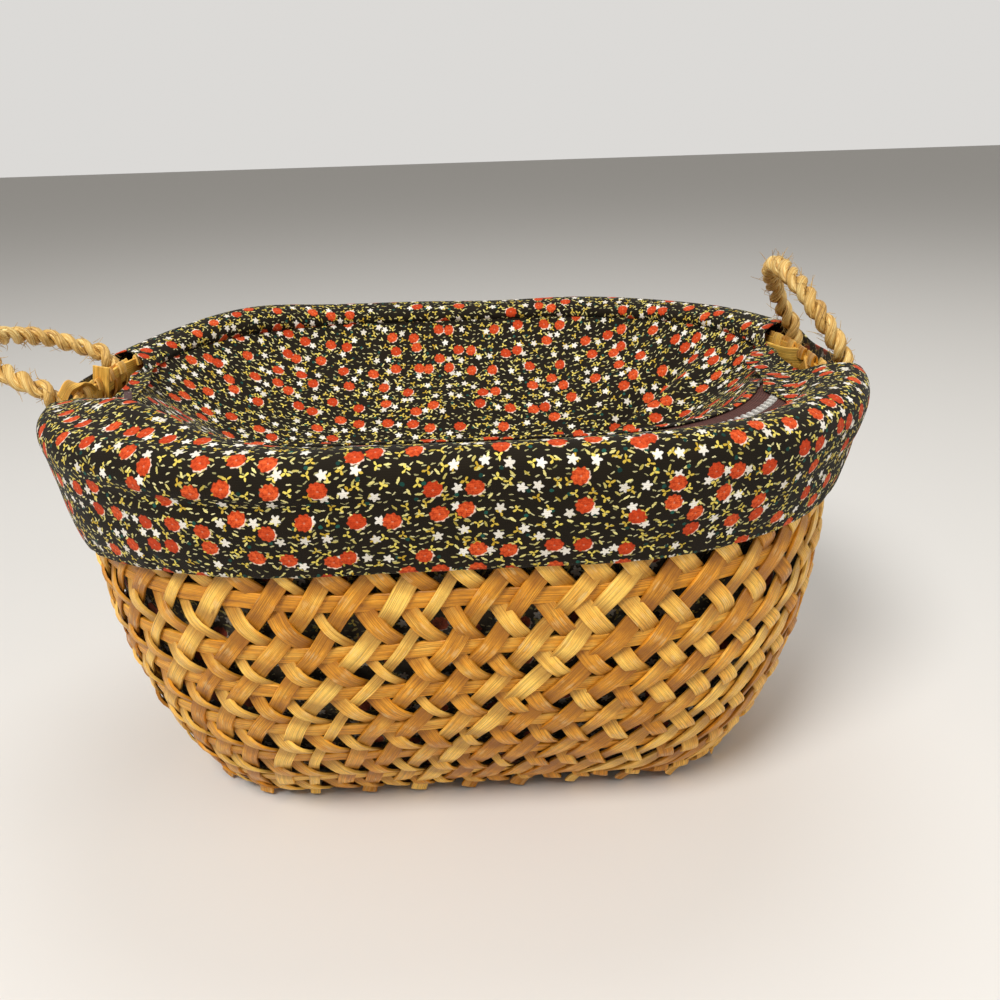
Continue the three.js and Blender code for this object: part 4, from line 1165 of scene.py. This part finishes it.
# %% Paths of the zip and the hem
ZIP_Z = (tape_low[2] + tape_high[2]) / 2
TAPE_NEAR, TAPE_FAR = 1.6, 10.3  # from the middle of the zip
TAPE_BEYOND = 9.0  # how far the tapes go on past the last tooth
RIBBON_THICK = 0.6
FLAP_SIDE_END = -46.0  # the flap's half stops short of the parked slider
HEM_DROP = 37.0
HEM_POINTS = 360
HEM_BAND, HEM_RAISE, HEM_LIE = 5.0, 3.5, 3.95  # the elastic's width, height over the hem and offset


def zip_run(inset, flap, beyond=0.0):
    """Path along the zip, from its right end to its left one; the flap's half is shorter."""
    spots = half_outline(inset, ZIP_END + beyond, -1, 700)
    if flap:
        spots = spots[(spots[:, 0] > 0) | (spots[:, 1] < FLAP_SIDE_END)]
    points = np.column_stack([spots, np.full(len(spots), ZIP_Z)])
    return {"points": points, "faces": np.tile([0, 0, 1.0], (len(points), 1))}


def every(path, step):
    return {**path, "points": path["points"][::step], "faces": path["faces"][::step]}


TAPE_MIDDLE = (TAPE_NEAR + TAPE_FAR) / 2
for name, side, node, body in (
    ("zip_tape_outer", -1, "zip_tape_basket", "basket"),
    ("zip_tape_inner", 1, "zip_tape_flap", "cover_flap"),
):
    run = every(zip_run(ZIP_INSET + side * TAPE_MIDDLE, side > 0, TAPE_BEYOND), 4)
    tape = sweep(name, [run], TAPE_FAR - TAPE_NEAR, RIBBON_THICK, tape_brown, edge=0.15)
    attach(tape, body)
    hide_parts(node)

hem_turn = np.arange(HEM_POINTS) / HEM_POINTS
hem_points, hem_faces = wall(hem_turn, np.full(HEM_POINTS, HEIGHT - HEM_DROP + HEM_RAISE), HEM_LIE)
hem_path = {"points": hem_points, "faces": hem_faces, "closed": True}
elastic = sweep("hem_band", [hem_path], HEM_BAND, RIBBON_THICK, elastic_pale, edge=0.15)
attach(elastic, "basket")
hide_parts("hem_elastic")

# %% [markdown]
# ## Zip teeth
#
# Each side of the zip carries a row of small metal teeth, one every 4 mm, and the two rows mesh by
# half a pitch, so that a tooth shows every 2 mm. So many teeth are the plainest case for instances:
# one tooth, drawn as a rounded outline and pushed out to its thickness, set on points along the
# path. The tooth stands across the path because the points bring the path's own direction.

# %% Zip teeth
metal, metal_tree, metal_shader = new_material("bright aluminium, stamped")  # small hard highlights
dull = add(metal_tree, "ShaderNodeTexNoise", {
    "Vector": add(metal_tree, "ShaderNodeTexCoord").outputs["Object"], "Scale": 900.0, "Detail": 2.0})
dull = add(metal_tree, "ShaderNodeMapRange", {"Value": dull, "To Min": 0.2, "To Max": 0.5})
metal_tree.links.new(dull.outputs[0], metal_shader.inputs["Roughness"])
metal_shader.inputs["Metallic"].default_value = 0.6
metal_shader.inputs["Base Color"].default_value = linear("#e6e3dc")

TOOTH_PITCH = 4.0
TOOTH_LENGTH = 2.3
TOOTH_HEIGHT = 1.7
TOOTH_THICK = 1.3
TOOTH_NEAR = -0.5  # the two rows mesh
print("finish:", metal.name, "for a tooth every", TOOTH_PITCH, "mm")

# %% Tree of the teeth
teeth_tree, teeth_inputs = new_tree("teeth along a path", [
    ("Path", "Geometry"), ("Pitch", "Float"), ("Height", "Float"), ("Length", "Float"),
    ("Thickness", "Float"), ("Material", "Material")], "Teeth")
given = add(teeth_tree, "NodeGroupInput")
outline_curve = add(teeth_tree, "GeometryNodeCurvePrimitiveQuadrilateral", {
    "Width": given.outputs["Height"], "Height": given.outputs["Length"]}, mode="RECTANGLE")
rounded = add(teeth_tree, "GeometryNodeFilletCurve", {
    "Curve": outline_curve, "Count": 2, "Radius": 0.0005, "Limit Radius": True}, mode="POLY")
flat = add(teeth_tree, "GeometryNodeFillCurve", {"Curve": rounded}, mode="NGONS")
pushed = add(teeth_tree, "GeometryNodeExtrudeMesh", {
    "Mesh": flat, "Offset Scale": given.outputs["Thickness"]}, mode="FACES")
backed = add(teeth_tree, "GeometryNodeFlipFaces", {"Mesh": flat})
both = add(teeth_tree, "GeometryNodeJoinGeometry")
teeth_tree.links.new(pushed.outputs["Mesh"], both.inputs[0])
teeth_tree.links.new(backed.outputs["Mesh"], both.inputs[0])
tooth = add(teeth_tree, "GeometryNodeMergeByDistance", {"Geometry": both, "Distance": 0.00001})
face = add(teeth_tree, "GeometryNodeInputNamedAttribute", {"Name": "face"}, data_type="FLOAT_VECTOR")
curve = add(teeth_tree, "GeometryNodeMeshToCurve", {"Mesh": given.outputs["Path"]})
faced = add(teeth_tree, "GeometryNodeSetCurveNormal", {"Curve": curve, "Normal": face}, mode="FREE")
spots = add(teeth_tree, "GeometryNodeCurveToPoints", {
    "Curve": faced, "Length": given.outputs["Pitch"]}, mode="LENGTH")
placed = add(teeth_tree, "GeometryNodeInstanceOnPoints", {
    "Points": spots, "Instance": tooth, "Rotation": spots.outputs["Rotation"]})
whole = add(teeth_tree, "GeometryNodeRealizeInstances", {"Geometry": placed})
finished = add(teeth_tree, "GeometryNodeSetMaterial", {
    "Geometry": whole, "Material": given.outputs["Material"]})
add(teeth_tree, "NodeGroupOutput", {0: finished})
print("teeth:", len(teeth_tree.nodes), "nodes")


# %% Two rows of teeth
def teeth(name, path, node, body):
    points = np.asarray(path["points"])
    mesh = bpy.data.meshes.new(name)
    mesh.from_pydata((points * MM).tolist(), [(i, i + 1) for i in range(len(points) - 1)], [])
    layer = mesh.attributes.new("face", "FLOAT_VECTOR", "POINT")
    layer.data.foreach_set("vector", np.asarray(path["faces"], dtype=np.float32).ravel())
    carrier = bpy.data.objects.new(name + "_path", mesh)
    bpy.context.scene.collection.objects.link(carrier)
    nodes = carrier.modifiers.new("teeth", "NODES")
    nodes.node_group = teeth_tree
    for label, value in (
        ("Pitch", TOOTH_PITCH), ("Height", TOOTH_HEIGHT), ("Length", TOOTH_LENGTH),
        ("Thickness", TOOTH_THICK),
    ):
        nodes[teeth_inputs[label]] = value * MM
    nodes[teeth_inputs["Material"]] = metal
    made = apply_nodes(carrier, name, 40)
    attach(made, body)
    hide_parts(node)
    print(name, len(made.data.polygons), "faces")


TOOTH_MIDDLE = TOOTH_NEAR + TOOTH_LENGTH / 2
teeth("zip_teeth_outer", zip_run(ZIP_INSET - TOOTH_MIDDLE, False), "zip_chain_basket", "basket")
inner_run = zip_run(ZIP_INSET + TOOTH_MIDDLE, True)
inner_run = {key: values[4:] for key, values in inner_run.items()}  # half a pitch further on
teeth("zip_teeth_inner", inner_run, "zip_chain_flap", "cover_flap")

# %% [markdown]
# ## Slider, pull and stop
#
# The zip's slider and its pull are die castings in dark red enamel. The solid model's shapes are
# right for them, so they keep those and get a finish: glossy, a little uneven, with bare metal
# showing where an edge is rubbed.

# %% Slider, pull and stop
enamel, enamel_tree, enamel_shader = new_material("dark red enamel on zinc")  # glossy, chipped at random
chips = add(enamel_tree, "ShaderNodeTexNoise", {
    "Vector": add(enamel_tree, "ShaderNodeTexCoord").outputs["Object"], "Scale": 700.0, "Detail": 4.0})
chips = add(enamel_tree, "ShaderNodeMapRange", {"Value": chips, "From Min": 0.64, "From Max": 0.68})
coat = add(enamel_tree, "ShaderNodeMix", {
    "Factor": chips, "A": linear("#3a1614"), "B": linear("#a79f97")}, data_type="RGBA")
enamel_tree.links.new(coat.outputs["Result"], enamel_shader.inputs["Base Color"])
enamel_tree.links.new(chips.outputs[0], enamel_shader.inputs["Metallic"])
enamel_shader.inputs["Roughness"].default_value = 0.45
enamel_shader.inputs["Specular IOR Level"].default_value = 0.2
for node, finish in (("zip_slider", enamel), ("zip_pull_tab", enamel), ("zip_end_stop", metal)):
    shown = frame["nodes"][node]
    shown.data.materials.clear()
    shown.data.materials.append(finish)
print("zip: slider, pull and stop finished")

# %% [markdown]
# ## Rope handles
#
# Each handle is a loop of straw rope: two strands laid round each other, right-handed. A curve
# with a rope texture would look flat where light grazes it, so each strand is a real tube. A line
# runs up from one root, over the loop and down to the other; a frame carried along it without
# twist gives the directions in which the strands wind. Broken straw ends stand out all along.

# %% Rope handles
ROPE = 8.0
STRANDS = 2
STRAND = ROPE / (1 + 1 / math.sin(math.pi / STRANDS))  # strands that touch in a rope of that size
LAY = 14.5  # length of rope in which a strand goes once round
HANDLE_SPAN = 66.0
HANDLE_RISE = 40.5
ROOT_LOW = 156.0
ROPE_POINTS = 230
STRAW_ENDS = 220
STRAW_MARGIN = 12  # points at each end of the rope that have none
STRAW_APART = 517.0  # takes every strand to its own stretch of the noise


def straw_rope(name):
    material, tree, shader = new_material(name)
    along, across, strip = (
        add(tree, "ShaderNodeAttribute", attribute_name=key).outputs["Fac"]
        for key in ("along", "across", "strip"))
    slant = add(tree, "ShaderNodeMath", {0: along, 1: 0.03, 2: across}, operation="MULTIPLY_ADD")
    shift = add(tree, "ShaderNodeMath", {0: strip, 1: STRAW_APART}, operation="MULTIPLY")
    place = add(tree, "ShaderNodeCombineXYZ", {"X": along, "Y": slant, "Z": shift})
    straw = add(tree, "ShaderNodeVectorMath", {0: place, 1: (0.05, 20.0, 1.0)}, operation="MULTIPLY")
    straw = add(tree, "ShaderNodeTexNoise", {
        "Vector": straw, "Scale": 1.0, "Detail": 3.0, "Roughness": 0.6})
    patch = add(tree, "ShaderNodeVectorMath", {0: place, 1: (0.08, 0.6, 1.0)}, operation="MULTIPLY")
    patch = add(tree, "ShaderNodeTexNoise", {"Vector": patch, "Scale": 1.0, "Detail": 3.0})
    tone = add(tree, "ShaderNodeMath", {0: patch, 1: 0.45, 2: straw}, operation="MULTIPLY_ADD")
    colours = add(tree, "ShaderNodeValToRGB", {"Fac": tone})
    ramp = colours.color_ramp
    ramp.elements[0].position = 0.5
    ramp.elements[0].color = linear("#7d5220")
    ramp.elements[1].position = 0.92
    ramp.elements[1].color = linear("#f2d992")
    ramp.elements.new(0.7).color = linear("#cf9f4a")
    bump = add(tree, "ShaderNodeBump", {"Height": straw, "Strength": 0.8, "Distance": 0.0006})
    tree.links.new(colours.outputs["Color"], shader.inputs["Base Color"])
    tree.links.new(bump.outputs[0], shader.inputs["Normal"])
    shader.inputs["Roughness"].default_value = 0.5
    shader.inputs["IOR"].default_value = 1.5
    return material


rope_straw = straw_rope("twisted straw rope")  # pale gold, silky highlights along the straws
print("finish:", rope_straw.name, "for strands of", round(STRAND, 1), "mm")


# %% Path of a rope
def rope_line(foot, up):
    """Middle of the rope, from the root below the front foot to the one below the back foot."""
    half = HANDLE_SPAN / 2
    across = np.array([0, 1.0, 0])
    leg = [np.array([0, 0, z - foot[2]]) for z in np.linspace(ROOT_LOW, foot[2] - 5, 4)]
    leg += [up * 4.0]
    line = [foot - across * half + step for step in leg]
    for angle in np.linspace(0, np.pi, 17):
        rise = HANDLE_RISE - half + half * math.sin(angle)
        line.append(foot - across * half * math.cos(angle) + up * rise)
    line += [foot + across * half + step for step in reversed(leg)]
    return smooth_line(line, ROPE_POINTS)


def carried_frame(line):
    """Tangent and two normals along a line, turned no more than the line itself."""
    tangent = np.gradient(line, axis=0)
    tangent /= np.linalg.norm(tangent, axis=1, keepdims=True)
    normal = np.cross(tangent[0], [0, 1.0, 0.2])
    normals = []
    for t in tangent:
        normal = normal - t * (normal @ t)
        normal = normal / np.linalg.norm(normal)
        normals.append(normal)
    normals = np.array(normals)
    return tangent, normals, np.cross(tangent, normals)


print("loop:", HANDLE_SPAN, "mm wide and", HANDLE_RISE, "mm high")


# %% Strands and straw ends
def rope_paths(foot, up):
    line, length = rope_line(foot, up)
    tangent, normal, binormal = carried_frame(line)
    run = np.linspace(0, length, len(line))
    paths = []
    for k in range(STRANDS):
        turn = (2 * np.pi * (k / STRANDS + run / LAY) + 0.25 * np.sin(run / 9 + k))[:, None]
        out = normal * np.cos(turn) + binormal * np.sin(turn)
        fullness = 1 + 0.09 * np.sin(run / 5.3 + 2.1 * k) + 0.06 * np.sin(run / 2.2 + k)
        paths.append({"points": line + out * (ROPE - STRAND) / 2, "faces": out,
                      "strip": (k + 0.5) / STRANDS, "taper": fullness})
    for _ in range(STRAW_ENDS):
        at = rng.integers(STRAW_MARGIN, len(line) - STRAW_MARGIN)
        angle = rng.uniform(0, 2 * np.pi)
        out = normal[at] * math.cos(angle) + binormal[at] * math.sin(angle)
        lean = tangent[at] * rng.choice([-1, 1]) * rng.uniform(0.6, 2.2) + rng.normal(0, 0.4, 3)
        away = out + lean
        away /= np.linalg.norm(away)
        bend = rng.normal(0, 0.3, 3)
        share = np.linspace(0, 1, 4)[:, None]
        reach = rng.uniform(2.0, 5.0)
        straw = line[at] + out * (ROPE / 2 - 0.7) + away * reach * share + bend * reach * share ** 2
        side = np.cross(away, bend)
        side /= np.linalg.norm(side)
        paths.append({"points": straw, "faces": np.tile(side, (4, 1)), "strip": rng.random(),
                      "taper": np.linspace(0.075, 0.03, 4)})
    return paths, length


print("rope:", STRANDS, "strands, once round in", LAY, "mm")

# %% Two ropes
for side, name, lean in ((-1, "left", 66.0), (1, "right", -30.0)):
    foot = np.array(joints[name + "_handle_swing"]["pos_m"]) / MM
    up = np.array([side * math.sin(math.radians(lean)), 0, math.cos(math.radians(lean))])
    paths, rope_length = rope_paths(foot, up)
    rope = sweep(
        name + "_rope", paths, STRAND, STRAND, rope_straw, edge=STRAND / 2, cuts=0, rounding=3,
        crease=80)
    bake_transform(rope)
    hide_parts(name + "_handle_rope", name + "_rope_root_front", name + "_rope_root_back")
    print(name, "rope:", round(rope_length), "mm")

# %% [markdown]
# ## Stage and light
#
# A pale floor, a pale world and three large soft lamps. The lamps stay at a plain level, so
# that the colours come out as they are written.

# %% Stage and light
FLOOR = 6.0  # half its side, in metres
floor_mesh = bpy.data.meshes.new("floor")
floor_mesh.from_pydata(
    [(-FLOOR, -FLOOR, 0), (FLOOR, -FLOOR, 0), (FLOOR, FLOOR, 0), (-FLOOR, FLOOR, 0)], [], [(0, 1, 2, 3)])
floor = bpy.data.objects.new("floor", floor_mesh)
bpy.context.scene.collection.objects.link(floor)
floor_paint, _, floor_shader = new_material("matt pale paint")  # no gloss, only soft shadows
floor_shader.inputs["Base Color"].default_value = linear("#dcd9d4")
floor_shader.inputs["Roughness"].default_value = 0.9
floor_mesh.materials.append(floor_paint)
print("floor:", 2 * FLOOR, "m wide")

# %% World and lamps
world = bpy.data.worlds.new("studio")
bpy.context.scene.world = world
world.use_nodes = True
sky = world.node_tree
sky.nodes.clear()
rays = add(sky, "ShaderNodeLightPath").outputs
seen = add(sky, "ShaderNodeMath", {
    0: rays["Is Camera Ray"], 1: rays["Is Glossy Ray"]}, operation="MAXIMUM")
seen = add(sky, "ShaderNodeMath", {0: seen, 1: rays["Is Transmission Ray"]}, operation="MAXIMUM")
shining = add(sky, "ShaderNodeBackground", {"Color": linear("#e9e6e1"), "Strength": 0.38})
backdrop = add(sky, "ShaderNodeBackground", {"Color": linear("#e4e2df"), "Strength": 0.92})
mixed = add(sky, "ShaderNodeMixShader", {0: seen, 1: shining, 2: backdrop})
add(sky, "ShaderNodeOutputWorld", {"Surface": mixed})
LAMPS = [
    # name, place in metres, width in metres, power in watts
    ("key", (-0.45, -1.0, 1.35), 0.55, 25.0),
    ("fill", (1.2, -0.8, 0.8), 1.2, 5.0),
    ("top", (0.15, 0.5, 1.6), 1.0, 8.0),
]
AIM = Vector((0, 0, 0.1))
for name, spot, size, power in LAMPS:
    lamp_data = bpy.data.lights.new(name, "AREA")
    lamp_data.shape = "DISK"
    lamp_data.size = size
    lamp_data.energy = power
    lamp = bpy.data.objects.new(name, lamp_data)
    lamp.location = spot
    lamp.rotation_mode = "QUATERNION"
    lamp.rotation_quaternion = (Vector(spot) - AIM).to_track_quat("Z", "Y")
    bpy.context.scene.collection.objects.link(lamp)
bpy.context.scene.view_settings.view_transform = "Standard"
print("stage: a floor and", len(LAMPS), "lamps")
